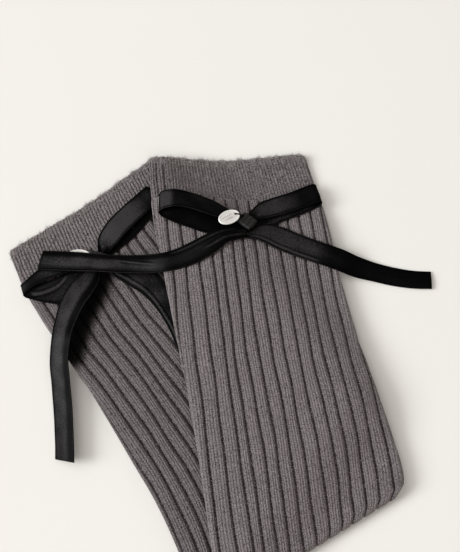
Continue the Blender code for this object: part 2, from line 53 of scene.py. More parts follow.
# Knit tube, and the stack that it makes folded under itself. Distances down the leg say where it
# climbs on to its own foot and where the toe is; DRAPE is the width over which it climbs on to the
# other sock.
LAYER_GAP = 0.6
TUBE_THICK = 3.6
WALL = 1.3
FOLD_RADIUS = (TUBE_THICK + LAYER_GAP) / 2
STACK_THICK = 2 * TUBE_THICK + LAYER_GAP
RISE_FROM, RISE_TO = 16.0, 58.0
TOE_AT, TOE_LENGTH, TOE_NARROW = 62.0, 22.0, 0.28
FOOT_INSET = 1.2
CORNER_ROUND = 2.4
DRAPE_OUTSIDE, DRAPE_INSIDE = 34.0, 4.0
CUFF_DIP = 1.8

# Sections at which the cuff is joined on and the leg's face starts to turn, and how long a section is;
# rings round the fold and the distance between those of the foot; soft unevenness of leg and cuff; how
# close knit may come to what it lies on.
SEAM_AT, FACE_END, SECTION_LENGTH = 0.97, 8.1, 25.0
FOLD_RINGS = 19
FOOT_STEP = 5.0
LEG_WAVES, CUFF_WAVES = 0.22, 0.15
LEAST_RISE = 0.03

# Wide ribs: height of the crest and of the groove's floor over the tube, half the floor's width, the
# width of the rise to the crest, how far the crest is domed, how far round the edges the ribs go, how
# much of them is left at the fold, and the knit columns (wales) in one rib.
RIB_CREST, GROOVE_FLOOR = 0.8, -0.75
GROOVE_HALF, SHOULDER = 0.3, 1.0
RIB_DOME = 0.2
RIB_WRAP = 0.6
FOLD_RIBS = 0.35
WALES = 5
WALE_DEPTH = 0.24
POINTS_PER_RIB = 20
COURSE = 1.3
LEG_WIDTH = 112.0
# Hidden back of the leg: points round it, its wales and the depth of its painted shade.
BACK_POINTS, BACK_WALES, BACK_SHADE = 36, 80, 0.7
# Places of the grooves as shares of the width, and how far they shift. Columns: section, shift.
GROOVES = {
    "front": (-0.155, -0.080, -0.012, 0.063, 0.144, 0.219, 0.271, 0.337, 0.400, 0.469, 0.535,
              0.609, 0.680, 0.743, 0.812, 0.882, 0.957, 1.030),
    "back": (-0.100, -0.040, 0.022, 0.088, 0.147, 0.206, 0.268, 0.325, 0.381, 0.440, 0.500,
             0.560, 0.620, 0.680, 0.740, 0.800, 0.860, 0.922, 0.985, 1.045),
}
GROOVE_SHIFT = {
    "front": ((1.0, 0.100), (2.5, 0.083), (3.3, 0.066), (4.1, 0.046), (4.9, 0.026), (5.7, 0.015),
              (6.5, 0.0), (7.3, -0.012), (8.1, -0.018)),
    "back": ((1.0, -0.020), (2.5, -0.025), (3.3, -0.030), (4.1, -0.017), (4.9, -0.010), (5.7, -0.003),
             (6.5, 0.0)),
}

# Fine rib of the cuff, and its rolled lip, whose colour is lightened as painted light.
CUFF_RIBS = 54
CUFF_POINTS_PER_RIB = 6
CUFF_RELIEF, CUFF_WRAP = 0.48, 1.2
LIP_RADIUS = 0.65
LIP_PAINTED_LIGHT = 1.6
LIP_CORNER = 2.0
CUFF_WIDTH = 95.0
RIBBED_RINGS = 32
# How clear the ribs are in relief and in painted shade, by the measure round the cuff, and deeper furrows,
# which also get painted shade. Columns of the second: measure, depth, reach.
CUFF_CLEARNESS = {
    "front": ((0.0, 1.0), (0.12, 0.8), (0.4, 0.6), (0.62, 0.42), (1.0, 0.5), (2.0, 0.8)),
    "back": ((0.0, 1.0), (2.0, 1.0)),
}
CUFF_FURROWS = {"front": ((0.052, 0.8, 0.6), (0.098, 1.0, 0.7)), "back": ()}

# Columns: lightest colour; tone of the painted shade on the furrows' floor; how much the painted shade
# between stitches, the yarn flecks and the broken dashes of painted shade show. The two socks are of one
# yarn: their lightest colours differ as painted light and shade.
KNIT_TONES = {
    "front_leg": ((0.250, 0.219, 0.225), 0.08, 0.42, 2.7, 0.5),
    "back_leg": ((0.200, 0.176, 0.180), 0.05, 0.42, 2.7, 0.5),
    "front_cuff": ((0.200, 0.175, 0.180), 0.28, 0.15, 4.4, 2.8),
    "back_cuff": ((0.255, 0.223, 0.229), 0.42, 0.20, 3.0, 1.8),
}
# Loose fibres by the part that they stand on. Columns: count, shortest, longest.
FIBRES = {"lip": (6500, 0.7, 2.4), "cuff": (2200, 0.4, 1.2), "leg": (3000, 0.4, 1.1)}
FIBRE_WIDTH = 0.13

# Columns: left x, left y, right x, right y of each section, cuff edge first.
FRONT_SECTIONS = (
    (-47.8, 71.0, 44.0, 75.5),
    (-45.4, 43.0, 52.5, 46.5),
    (-42.4, 20.5, 57.8, 23.5),
    (-37.2, -3.5, 62.3, -1.0),
    (-32.0, -28.5, 69.2, -29.0),
    (-26.8, -54.5, 76.4, -54.5),
    (-21.9, -80.0, 83.8, -79.0),
    (-16.9, -106.0, 90.8, -101.0),
    (-10.8, -146.0, 94.2, -117.0),
    (-4.4, -186.0, 93.6, -127.4),
)
BACK_SECTIONS = (
    (-128.6, 14.0, -43.5, 75.0),
    (-117.6, -10.5, -30.0, 50.5),
    (-106.6, -28.5, -15.5, 30.0),
    (-94.0, -46.5, -1.5, 12.5),
    (-80.8, -65.5, 13.0, -6.5),
    (-67.1, -86.2, 28.0, -26.0),
    (-53.0, -109.0, 42.5, -45.0),
    (-40.0, -130.5, 55.0, -61.5),
    (-27.6, -156.0, 62.5, -71.5),
    (-16.0, -186.0, 65.5, -79.0),
)

# Ribbon of the solids, and the thinner one that shows: its thickness, the beads along its woven edges,
# how far it settles on to what it lies on, and its width before it is gathered.
RIBBON_THICK = 1.0
RIBBON_CLEAR = 0.35
RIBBON_UNDER = RIBBON_THICK + 2 * RIBBON_CLEAR
LOOP_LUMP = (-43.0, 49.0, 24.0, 2.6)
FLOOR_CLEAR = 0.06
SATIN_THICK = 0.4
SATIN_BEAD = 0.42
SATIN_SETTLE = 0.35
SATIN_WIDTH = 11.4
GATHER_FOLDS = 1.5
GATHER_BELOW = 10.0
GATHER_REACH = 16.0
# Rings in each stretch between two rows, points across a face between its beads, weft thread.
RIBBON_STEPS, RIBBON_INNER = 14, 21
WEFT_LENGTH = 0.45

# How far the cut end of a tail slants, and how much painted sheen each stretch has: across its width, as
# share from the lower edge and amount, and along its length, as share from the first row and amount.
CUT_SLANT = {"back_bow_tail_down": -4.0, "front_bow_tail_left": -1.6}
SHEEN_ACROSS = {
    "back_bow_tail_down": ((0.0, 0.05), (0.22, 0.08), (0.38, 1.0), (1.0, 1.0)),
    "front_bow_tail_left": ((0.0, 0.1), (0.13, 0.35), (0.34, 1.45), (0.6, 1.45), (0.76, 0.2), (0.9, 0.15),
                            (1.0, 0.9)),
}
SATIN_SHEEN = {
    "front_bow_loop_left": ((0.0, 0.25), (0.12, 0.15), (0.40, 0.18), (0.43, 1.5), (0.47, 1.5), (0.49, 0.1),
                            (1.0, 0.1)),
    "front_bow_loop_right": ((0.0, 0.3), (0.10, 1.0), (0.25, 0.8), (0.36, 0.12), (0.5, 0.1), (0.62, 0.5),
                             (1.0, 0.7)),
    "front_bow_tail_left": ((0.0, 0.3), (0.1, 0.15), (0.4, 0.2), (0.55, 0.4), (0.75, 0.7), (0.92, 0.5),
                            (1.0, 0.3)),
    "front_bow_tail_right": ((0.0, 0.3), (0.08, 1.1), (0.28, 0.9), (0.45, 0.15), (1.0, 0.03)),
    "back_bow_loop_left": ((0.0, 0.3), (0.3, 0.5), (0.45, 0.2), (0.6, 0.35), (1.0, 0.3)),
    "back_bow_loop_right": ((0.0, 0.2), (0.05, 0.5), (0.12, 1.75), (0.28, 1.6), (0.42, 0.2), (1.0, 0.1)),
    "back_bow_tail_down": ((0.0, 0.5), (0.12, 0.85), (0.5, 0.6), (1.0, 0.42)),
    "back_bow_tail_right": ((0.0, 0.4), (0.3, 0.6), (0.6, 0.3), (1.0, 0.2)),
}

# Sharp folds along a ribbon. Columns: where it starts and ends as shares of the length, its places across
# there, half its width, its height, how much painted highlight its crest gets; its flanks get painted shade.
FOLDS = {
    "back_bow_loop_left": ((0.55, 0.86, 0.36, 0.84, 1.0, 0.7, 0.9),),
    "front_bow_tail_left": ((0.02, 0.40, 0.80, 0.84, 0.7, 0.45, 0.55),
                            (0.0, 0.24, 0.3, 0.42, 0.8, 0.5, 0.35),
                            (0.45, 0.66, 0.42, 0.70, 0.6, 0.35, 0.1)),
    "front_bow_tail_right": ((0.0, 0.42, 0.16, 0.12, 0.7, 0.4, 0.5),),
    "back_bow_tail_right": ((0.06, 0.95, 0.20, 0.2, 0.7, 0.4, 0.5),),
}
FOLD_FADE = 0.05

# Painted deep shade in the angle between a raised tail and the knit. Columns: x, y of its line; then its
# reach and its depth.
SHADE_LINES = {
    "back": (((-71.5, 0.0), (-75.0, -9.8), (-79.6, -20.4), (-83.6, -31.0), (-86.2, -42.0),
              (-87.4, -50.0)), 6.9, 0.91),
}

# Columns: x, y, rise above what it lies on, width, heading of the width, tilt of the width.
RIBBONS = {
    "front_bow_loop_left": (
        (5.0, 30.2, 2.2, 5.5, 58, 0),
        (-3.6, 32.2, 3.2, 8.5, 72, 0),
        (-13.0, 36.0, 4.0, 10.6, 74, 0),
        (-22.0, 39.3, 4.0, 10.8, 80, 0),
        (-31.0, 41.0, 3.6, 11.2, 88, 0),
        (-38.2, 40.4, 2.6, 12.2, 91, 0),
        (-40.6, 38.2, 1.4, 12.0, 91, 0),
        (-38.2, 35.8, 0.2, 11.6, 87, 0),
        (-29.5, 33.2, 0.15, 14.5, 74, 0),
        (-20.2, 29.8, 0.0, 15.0, 68, 0),
        (-11.6, 26.6, 0.1, 14.6, 78, 0),
        (-4.4, 26.0, 0.2, 12.4, 95, 0),
        (5.4, 25.0, 0.3, 7.4, 96, 0),
    ),
    "front_bow_loop_right": (
        (12.5, 31.9, 2.3, 6.0, 138, 0),
        (19.8, 37.0, 2.8, 11.2, 118, 0),
        (28.0, 40.1, 2.2, 12.0, 110, 0),
        (36.8, 43.3, 1.8, 12.2, 109, 0),
        (45.0, 46.7, 1.9, 12.3, 107, 0),
        (50.4, 48.6, 2.2, 12.2, 106, 0),
        (52.0, 47.8, 1.1, 11.8, 106, 0),
        (50.0, 45.7, 0.0, 11.4, 106, 0),
        (40.0, 40.4, 0.0, 11.0, 109, 0),
        (29.0, 35.9, 0.0, 11.0, 112, 0),
        (21.0, 31.6, 0.2, 11.0, 116, 0),
        (12.8, 28.7, 0.4, 8.6, 123, 0),
    ),
    "front_bow_tail_left": (
        (9.6, 22.4, 0.7, 9.0, 97, 0),
        (-3.0, 17.9, 1.3, 9.2, 122, 0),
        (-11.0, 13.0, 1.4, 12.0, 125, 0),
        (-20.0, 7.8, 0.6, 12.8, 118, 0),
        (-29.0, 4.1, 0.2, 12.0, 108, 0),
        (-37.0, 2.0, 0.2, 11.5, 97, 0),
        (-46.0, 2.2, 6.6, 11.5, 90, 0),
        (-56.0, 2.6, 5.0, 11.2, 88, 0),
        (-66.0, 3.0, 5.2, 11.2, 86, 0),
        (-76.0, 3.8, 5.6, 11.4, 85, 0),
        (-87.0, 4.8, 5.4, 12.0, 84, 0),
        (-98.0, 5.8, 4.8, 12.2, 84, 0),
        (-109.0, 6.7, 4.0, 11.8, 84, 0),
    ),
    "front_bow_tail_right": (
        (11.2, 21.6, 0.9, 8.6, 70, 0),
        (19.8, 22.4, 1.3, 13.2, 66, 0),
        (29.0, 19.2, 1.0, 14.6, 68, 0),
        (37.3, 15.9, 0.8, 14.0, 68, 0),
        (46.2, 12.7, 0.7, 13.4, 68, 0),
        (55.0, 9.6, 0.8, 13.2, 70, 0),
        (64.0, 6.7, 8.1, 13.2, 72, 0),
        (74.0, 4.0, 3.4, 12.6, 73, 0),
        (84.5, 1.5, 1.4, 11.4, 76, 0),
        (95.0, -0.8, 0.6, 11.2, 80, 0),
        (106.0, -2.5, 0.6, 11.0, 84, -3),
        (116.4, -3.0, 1.0, 10.8, 90, -6),
    ),
    "back_bow_loop_left": (
        (-80.35, 8.2, 1.6, 5.0, 76, 0),
        (-87.6, 5.6, 1.8, 8.0, 98, 0),
        (-97.8, 2.6, 1.8, 9.0, 112, 0),
        (-107.5, -1.8, 2.4, 8.0, 118, 4),
        (-114.7, -7.2, 2.7, 5.8, 134, 6),
        (-118.7, -11.0, 1.5, 6.6, 108, 5),
        (-114.0, -11.9, 0.3, 8.8, 101, 2),
        (-105.6, -12.2, 0.0, 13.4, 106, 0),
        (-97.0, -10.4, 0.0, 16.0, 102, 0),
        (-88.9, -2.8, 0.0, 12.5, 118, 0),
        (-83.1, 3.1, 0.3, 6.5, 124, 0),
    ),
    "back_bow_loop_right": (
        (-73.55, 11.35, 1.8, 5.5, 164, 0),
        (-70.7, 19.1, 2.4, 12.0, 160, 0),
        (-65.5, 27.3, 2.8, 13.2, 146, 0),
        (-58.6, 35.1, 2.5, 13.2, 138, 0),
        (-51.2, 42.7, 1.9, 12.8, 135, 0),
        (-46.0, 48.0, 2.3, 12.0, 134, 0),
        (-43.8, 48.2, 1.2, 11.9, 134, 0),
        (-45.6, 45.2, 0.0, 11.4, 134, 0),
        (-51.8, 35.0, 0.0, 11.0, 136, 0),
        (-59.4, 25.4, 0.0, 11.0, 141, 0),
        (-66.4, 16.6, 0.2, 7.6, 150, 0),
        (-71.4, 10.6, 0.4, 4.0, 158, 0),
    ),
    "back_bow_tail_down": (
        (-76.9, 2.0, 1.4, 6.5, 158, 0),
        (-80.4, -4.8, 2.8, 13.4, 156, -14),
        (-85.2, -12.6, 4.0, 17.4, 159, -22),
        (-89.6, -21.6, 4.3, 16.4, 165, -25),
        (-92.7, -31.2, 4.0, 14.8, 171, -28),
        (-94.6, -42.0, 4.4, 13.6, 177, -30),
        (-95.6, -53.5, 9.4, 13.2, 181, -32),
        (-94.2, -66.0, 7.8, 13.6, 184, -34),
        (-92.8, -79.0, 6.2, 13.9, 185, -36),
        (-91.6, -93.5, 5.2, 14.2, 184, -37),
        (-90.7, -108.5, 4.9, 14.2, 183, -37),
    ),
    "back_bow_tail_right": (
        (-70.6, 4.4, 0.9, 5.5, 64, 0),
        (-63.5, 2.1, 0.5, 12.2, 62, 0),
        (-55.1, -1.6, 0.2, 15.0, 62, 0),
        (-46.9, -6.7, 0.0, 15.2, 56, 0),
        (-40.3, -14.1, 0.0, 13.2, 46, 0),
        (-34.8, -23.0, 0.0, 11.0, 38, 0),
        (-29.4, -32.5, 0.0, 11.0, 30, 0),
        (-25.0, -43.0, 0.0, 11.0, 25, 0),
        (-21.0, -54.0, 0.0, 11.0, 22, 0),
    ),
}
# A ribbon lies on its own sock. These lie on something else from this row on.
LIES_ON = {
    "front_bow_tail_left": (6, "back"),
    "front_bow_tail_right": (6, "floor"),
    "back_bow_tail_down": (6, "floor"),
}
# Columns: x, y, what it lies on, rise above that, turn in degrees.
KNOTS = {
    "front_bow_knot": (9.0, 27.2, "front", 0.0, -38),
    "back_bow_knot": (-75.2, 6.4, "back", 0.0, -20),
}
CHARMS = {
    "front_charm": (-1.8, 27.2, "front", 4.5, 38),
    "back_charm": (-87.2, 8.1, "back", 3.75, 2),
}
# How bright each charm's colour is painted: the back charm's is darker, as painted shade.
CHARM_PAINTED_BRIGHTNESS = {"front_charm": 1.0, "back_charm": 0.42}
KNOT_SIZE = (10.0, 9.4, 4.6)
# Strength of the painted sheen on the knots and of the painted highlight on the ribbons' beaded edges.
KNOT_SHEEN = 1.6
BEAD_SHEEN = 0.6
# How far each way the slope is taken where a knot or a charm is laid down.
SLOPE_REACH = 3.0
CHARM_HALF = (7.4, 4.4)
CHARM_THICK = 1.0
# Rows of dots on a charm. Columns: place across, count.
CHARM_DOTS = ((0.95, 6), (-0.95, 5))
CHARM_HOLE_PLACE, CHARM_HOLE_RADIUS = 4.8, 0.8
THREAD_RADIUS = 0.2

# The camera looks at the table point (0, 0), tilted this far from straight down.
CAMERA_TILT = 18.0
CAMERA_DISTANCE = 720.0
CAMERA_LENS = 81.0

# Round soft lights that shine on the middle of the pair from one distance. Columns: name, direction,
# size, power, colour. These and the floor's place are in metres.
LIGHT_DISTANCE = 6.0
LIGHTS = (
    ("window", (-0.82, -0.14, 0.56), 3.2, 282.0, (0.97, 0.99, 1.0)),
    ("window_top", (-0.5, 0.15, 0.85), 4.8, 110.0, (0.98, 1.0, 1.0)),
    ("fill", (0.1, -0.5, 0.86), 4.0, 78.0, (1.0, 0.95, 0.90)),
)
SKY_COLOUR, SKY_STRENGTH = (1.0, 0.955, 0.905, 1.0), 0.30
FLOOR_HALF, FLOOR_DROP = 5.0, 0.00001

# The photograph's deep shadows: brightness before and after, both linear.
TONE_CURVE = ((0.012, 0.005), (0.045, 0.036), (0.13, 0.13), (0.5, 0.5))


def step(value):
    """Smooth rise from 0 to 1."""
    t = np.clip(value, 0.0, 1.0)
    return t * t * (3 - 2 * t)


def spline(rows, t):
    """Points t of the smooth curve through equally spaced rows, t from 0 to len(rows) - 1."""
    rows = np.asarray(rows, float)
    t = np.atleast_1d(np.asarray(t, float))
    padded = np.vstack((2 * rows[0] - rows[1], rows, 2 * rows[-1] - rows[-2]))
    i = np.clip(np.floor(t).astype(int), 0, len(rows) - 2)
    f = (t - i)[:, None]
    a, b, c, d = (padded[i + k] for k in range(4))
    return b + 0.5 * f * (c - a + f * (2 * a - 5 * b + 4 * c - d + f * (3 * (b - c) + d - a)))


def waves(x, y, length, seed):
    """Soft uneven waves about 0, from -1 to 1, of about this wavelength in both directions."""
    phases = np.random.default_rng(seed).uniform(0, 2 * math.pi, 6)
    angles = phases[::-1] + np.arange(6) * 1.05
    total = 0.0
    for k in range(6):
        size = 2 * math.pi / (length * (0.75 + 0.12 * k))
        total = total + np.sin(size * (x * math.cos(angles[k]) + y * math.sin(angles[k])) + phases[k])
    return total / 3.5


def unit(vectors):
    """Vectors made 1 long; where there are several, each is a row."""
    return vectors / np.linalg.norm(vectors, axis=-1, keepdims=True)


def away_from(line, x, y):
    """Distance from a line made of straight pieces."""
    nearest = np.inf
    for a, b in zip(line, line[1:]):
        edge = b - a
        t = np.clip(((x - a[0]) * edge[0] + (y - a[1]) * edge[1]) / edge.dot(edge), 0, 1)
        nearest = np.minimum(nearest, np.hypot(x - a[0] - edge[0] * t, y - a[1] - edge[1] * t))
    return nearest


class Sock:
    """One folded sock: its outline on the surface and the height of everything in it, for arrays."""

    def __init__(self, sections, carrier=None):
        self.sections = np.array(sections, float)
        self.carrier = carrier
        self.cuff_point = self.sections[0, :2]
        across = self.sections[0, 2:] - self.sections[0, :2]
        self.leg_direction = np.array((across[1], -across[0])) / np.hypot(*across)
        self.outline = np.vstack((self.sections[:, :2], self.sections[::-1, 2:], self.sections[:1, :2]))
        self.last = len(sections) - 1

    def along(self, x, y):
        """Distance from the line of the cuff's edge towards the foot."""
        dx, dy = x - self.cuff_point[0], y - self.cuff_point[1]
        return dx * self.leg_direction[0] + dy * self.leg_direction[1]

    def inside(self, x, y):
        """Distance from the outline, positive inside it."""
        within = False
        for (ax, ay), (bx, by) in zip(self.outline, self.outline[1:]):
            if ay != by:
                within = within ^ (((ay > y) != (by > y)) & (x < ax + (bx - ax) * (y - ay) / (by - ay)))
        nearest = away_from(self.outline, x, y)
        return np.where(within, nearest, -nearest)

    def base(self, x, y):
        """Height of what this sock lies on: the surface, or the other sock and its ribbon."""
        if self.carrier is None:
            return np.zeros(np.broadcast(x, y).shape)
        carried = (self.carrier.inside(x, y) + DRAPE_OUTSIDE) / (DRAPE_OUTSIDE + DRAPE_INSIDE)
        lump_x, lump_y, lump_radius, lump_height = LOOP_LUMP
        lump = lump_height * step(2 * (1 - np.hypot(x - lump_x, y - lump_y) / lump_radius))
        return step(carried) * (self.carrier.top(x, y) + RIBBON_UNDER + lump)

    def middle(self, x, y):
        """Height of the middle of the leg's flattened tube."""
        rise = 2 * FOLD_RADIUS * step((self.along(x, y) - RISE_FROM) / (RISE_TO - RISE_FROM))
        return self.base(x, y) + rise + TUBE_THICK / 2

    def top(self, x, y):
        """Height of the ribs' crests."""
        return self.middle(x, y) + TUBE_THICK / 2 + RIB_CREST

    def edges(self, t):
        """Left and right edge points of section t."""
        row = spline(self.sections, t)[0]
        return row[:2], row[2:]


def tube_section(measure, edges, thick, relief, wrap):
    """Points round a flattened tube with a relief: share of the way across, height from its middle."""
    width = float(np.hypot(*(edges[1] - edges[0])))
    measure = np.mod(measure, 2.0)
    side = np.where(measure <= 1.0, 1.0, -1.0)
    radius = thick / 2
    bend = math.pi * radius / 2
    total = width - 2 * radius + 2 * bend
    run = np.minimum(measure, 2.0 - measure) * total
    on_left, on_right = run < bend, run > total - bend
    flat = ~(on_left | on_right)
    angle = np.where(on_left, run, total - run) / radius
    in_from_edge = radius * (1 - np.cos(angle))
    across = np.where(flat, radius + run - bend, np.where(on_left, in_from_edge, width - in_from_edge))
    up = np.where(flat, side * radius, side * radius * np.sin(angle))
    normal_x = np.where(flat, 0.0, np.where(on_left, -np.cos(angle), np.cos(angle)))
    normal_z = np.where(flat, side, side * np.sin(angle))
    raised = relief * step(normal_z + wrap)
    return (across + normal_x * raised) / width, up + normal_z * raised


def narrowed(edges, inset):
    """A pair of edge points moved towards each other."""
    left, right = edges
    across = unit(right - left)
    return left + across * inset, right - across * inset


def rib_columns(grooves):
    """Measure round the leg, relief, wale count and painted shade of the grooves for each column of points.
    """
    columns = []
    for k, (a, b) in enumerate(zip(grooves, grooves[1:])):
        width = (b - a) * LEG_WIDTH
        for i in range(POINTS_PER_RIB):
            f = i / POINTS_PER_RIB
            shoulder = float(step((min(f, 1 - f) * width - GROOVE_HALF) / SHOULDER))
            ripple = WALE_DEPTH * (abs(math.sin(WALES * math.pi * f)) ** 0.7 - 1)
            crest = RIB_CREST - RIB_DOME * (2 * f - 1) ** 2
            relief = GROOVE_FLOOR + (crest - GROOVE_FLOOR + ripple) * shoulder
            columns.append((a + (b - a) * f, relief, WALES * (k + f), shoulder))
    first, last = grooves[0], grooves[-1]
    for i in range(BACK_POINTS):
        f = i / BACK_POINTS
        wale = WALES * (len(grooves) - 1) + BACK_WALES * f
        columns.append((last + (2.0 + first - last) * f, 0.0, wale, BACK_SHADE))
    return np.array(columns).T


def set_values(mesh, name, values):
    """Store one number for each point of a mesh."""
    mesh.attributes.new(name, "FLOAT", "POINT").data.foreach_set("value", values)


def values_of(items, name, size):
    """What the items of a mesh hold under a name, a row for each item."""
    values = np.empty(len(items) * size)
    items.foreach_get(name, values)
    return values.reshape(-1, size)


def knit_mesh(grid, u, v, shade, close_rows=False):
    """A mesh of quads over rows of points that close round; u and v have one more column for the seam."""
    rows, columns = grid.shape[:2]
    u, v = (np.broadcast_to(place, (rows, columns + 1)) for place in (u, v))
    mesh = bpy.data.meshes.new("piece")
    points = (grid.reshape(-1, 3) - CENTRE) * MM
    r = np.arange(rows if close_rows else rows - 1)
    c = np.arange(columns)
    r, c = (a.ravel() for a in np.meshgrid(r, c, indexing="ij"))
    r_next, c_next = (r + 1) % rows, (c + 1) % columns
    faces = np.stack((r * columns + c, r * columns + c_next,
                      r_next * columns + c_next, r_next * columns + c), axis=1)
    mesh.vertices.add(rows * columns)
    mesh.vertices.foreach_set("co", points.ravel())
    mesh.loops.add(faces.size)
    mesh.loops.foreach_set("vertex_index", faces.ravel())
    mesh.polygons.add(len(faces))
    mesh.polygons.foreach_set("loop_start", np.arange(0, faces.size, 4))
    mesh.update(calc_edges=True)
    layer = mesh.uv_layers.new(name="knit")
    r_uv = np.minimum(r + 1, rows - 1)
    loops_u = np.stack((u[r, c], u[r, c + 1], u[r_uv, c + 1], u[r_uv, c]), axis=1)
    loops_v = np.stack((v[r, c], v[r, c + 1], v[r_uv, c + 1], v[r_uv, c]), axis=1)
    layer.data.foreach_set("uv", np.stack((loops_u, loops_v), axis=2).ravel())
    # crest holds each point's painted light and shade.
    set_values(mesh, "crest", np.broadcast_to(shade, (rows, columns)).astype(float).ravel())
    mesh.validate()
    return mesh


def face_out(mesh, end_points=0):
    """Turn all faces outwards, after closing the first and the last ring if their points are given."""
    bm = bmesh.new()
    bm.from_mesh(mesh)
    every = list(bm.verts)
    for verts in (every[:end_points], every[-end_points:]) if end_points else ():
        centre = bm.verts.new(sum((vert.co for vert in verts), Vector()) / end_points)
        for a, b in zip(verts, verts[1:] + verts[:1]):
            bm.faces.new((a, b, centre))
    bmesh.ops.recalc_face_normals(bm, faces=bm.faces)
    bm.to_mesh(mesh)
    bm.free()


def leg_mesh(sock, side, seed):
    """The whole leg as one closed form: its hollow, its face, the fold and the foot below."""
    measures, reliefs, wales, shades = rib_columns(GROOVES[side])
    shift_at, shift_by = zip(*GROOVE_SHIFT[side])

    left, right = sock.edges(sock.last)
    before_left, before_right = sock.edges(sock.last - 0.5)
    fold = unit(right - left)
    out = np.array((fold[1], -fold[0]))
    # How the two edges run on, for each millimetre square to the fold.
    run_left = (left - before_left) / (left - before_left).dot(out)
    run_right = (right - before_right) / (right - before_right).dot(out)
    inset = STACK_THICK / 2 + RIB_CREST
    axis = (left - run_left * inset, right - run_right * inset)
    rows, lengths = [], []

    def section(t):
        """Edge points of section t; past the face's end they run on to the fold's axis."""
        share = max(0.0, (t - FACE_END) / (sock.last - FACE_END))
        return [a * (1 - share) + b * share for a, b in zip(sock.edges(min(t, FACE_END)), axis)]

    def ring(edges, twist, length, ribs=1.0, thick=TUBE_THICK, waved=0.0, turn=None):
        """One ring of points; turn is how far round the fold it is, none on the face."""
        wobble = 0.0016 * np.sin(length / 7.0 + measures * 31)
        wobble = wobble + 0.0024 * np.sin(length / 19.0 + measures * 17)
        share, up = tube_section(measures + twist + wobble, edges, thick, reliefs * ribs, RIB_WRAP)
        share = share[:, None]
        points = edges[0] + (edges[1] - edges[0]) * share
        if turn is not None:
            run_on = run_left + (run_right - run_left) * np.clip(share, 0, 1)
            points = points + run_on * (math.sin(turn) * (FOLD_RADIUS + up))[:, None]
        x, y = points.T
        base = sock.base(x, y)
        if turn is None:
            height = sock.middle(x, y) + up + waved * waves(x, y, 34, seed)
        else:
            height = base + STACK_THICK / 2 + math.cos(turn) * (FOLD_RADIUS + up)
        rows.append(np.column_stack((x, y, np.maximum(height, base + LEAST_RISE))))
        lengths.append(length)

    for t in np.linspace(5.0, SEAM_AT, 12):
        twist = float(np.interp(t, shift_at, shift_by))
        ring(narrowed(sock.edges(t), WALL), twist, (SEAM_AT - t) * SECTION_LENGTH, ribs=0.0,
             thick=TUBE_THICK - 2 * WALL)

    length = 0.0
    previous = None
    for t in np.concatenate(([0.965, SEAM_AT, 0.985], np.arange(1.01, FACE_END, 0.08),
                             np.linspace(FACE_END, sock.last, 12))):
        edges = section(t)
        middle = (edges[0] + edges[1]) / 2
        if previous is not None:
            length += float(np.hypot(*(middle - previous)))
        previous = middle
        twist = float(np.interp(t, shift_at, shift_by))
        ribs = 0.25 + 0.75 * float(step((t - SEAM_AT) / 0.16))
        thick = TUBE_THICK - max(0.0, (0.985 - t) / 0.02)
        ring(edges, twist, length, ribs=ribs, thick=thick, waved=LEG_WAVES)

    for degrees in np.linspace(0, 180, FOLD_RINGS + 1)[1:]:
        turn = math.radians(degrees)
        inward = FOOT_INSET * degrees / 180 + CORNER_ROUND * math.sin(turn)
        length += math.pi / FOLD_RINGS * (FOLD_RADIUS + TUBE_THICK / 2)
        ribs = 1 - (1 - FOLD_RIBS) * float(step(degrees / 70))
        ring(narrowed(axis, inward), shift_by[-1], length, ribs=ribs, turn=turn)

    toe = 1.0
    while sock.along(*(sum(sock.edges(toe)) / 2)) < TOE_AT:
        toe += 0.02
    for t in np.concatenate((np.arange(8.9, toe + 0.62, -0.2), toe + np.linspace(0.6, 0.0, 12))):
        a, b = section(t)
        rounding = max(0.0, 1 - (sock.along(*((a + b) / 2)) - TOE_AT) / TOE_LENGTH) ** 2
        inward = FOOT_INSET + TOE_NARROW * float(np.hypot(*(b - a))) * rounding
        length += FOOT_STEP
        ring(narrowed((a, b), inward), shift_by[-1], length, ribs=FOLD_RIBS, turn=math.pi)

    grid = np.array(rows)
    mesh = knit_mesh(grid, np.append(wales, wales[-1] + 2), np.array(lengths)[:, None] / COURSE, shades)
    # Painted deep shade beside the raised tail, stored for each point.
    if side in SHADE_LINES:
        line, reach, depth = SHADE_LINES[side]
        away = away_from(np.array(line), grid[..., 0], grid[..., 1])
        set_values(mesh, "painted_shade", (depth * np.exp(-((away / reach) ** 4))).ravel())
    face_out(mesh, len(measures))
    return mesh


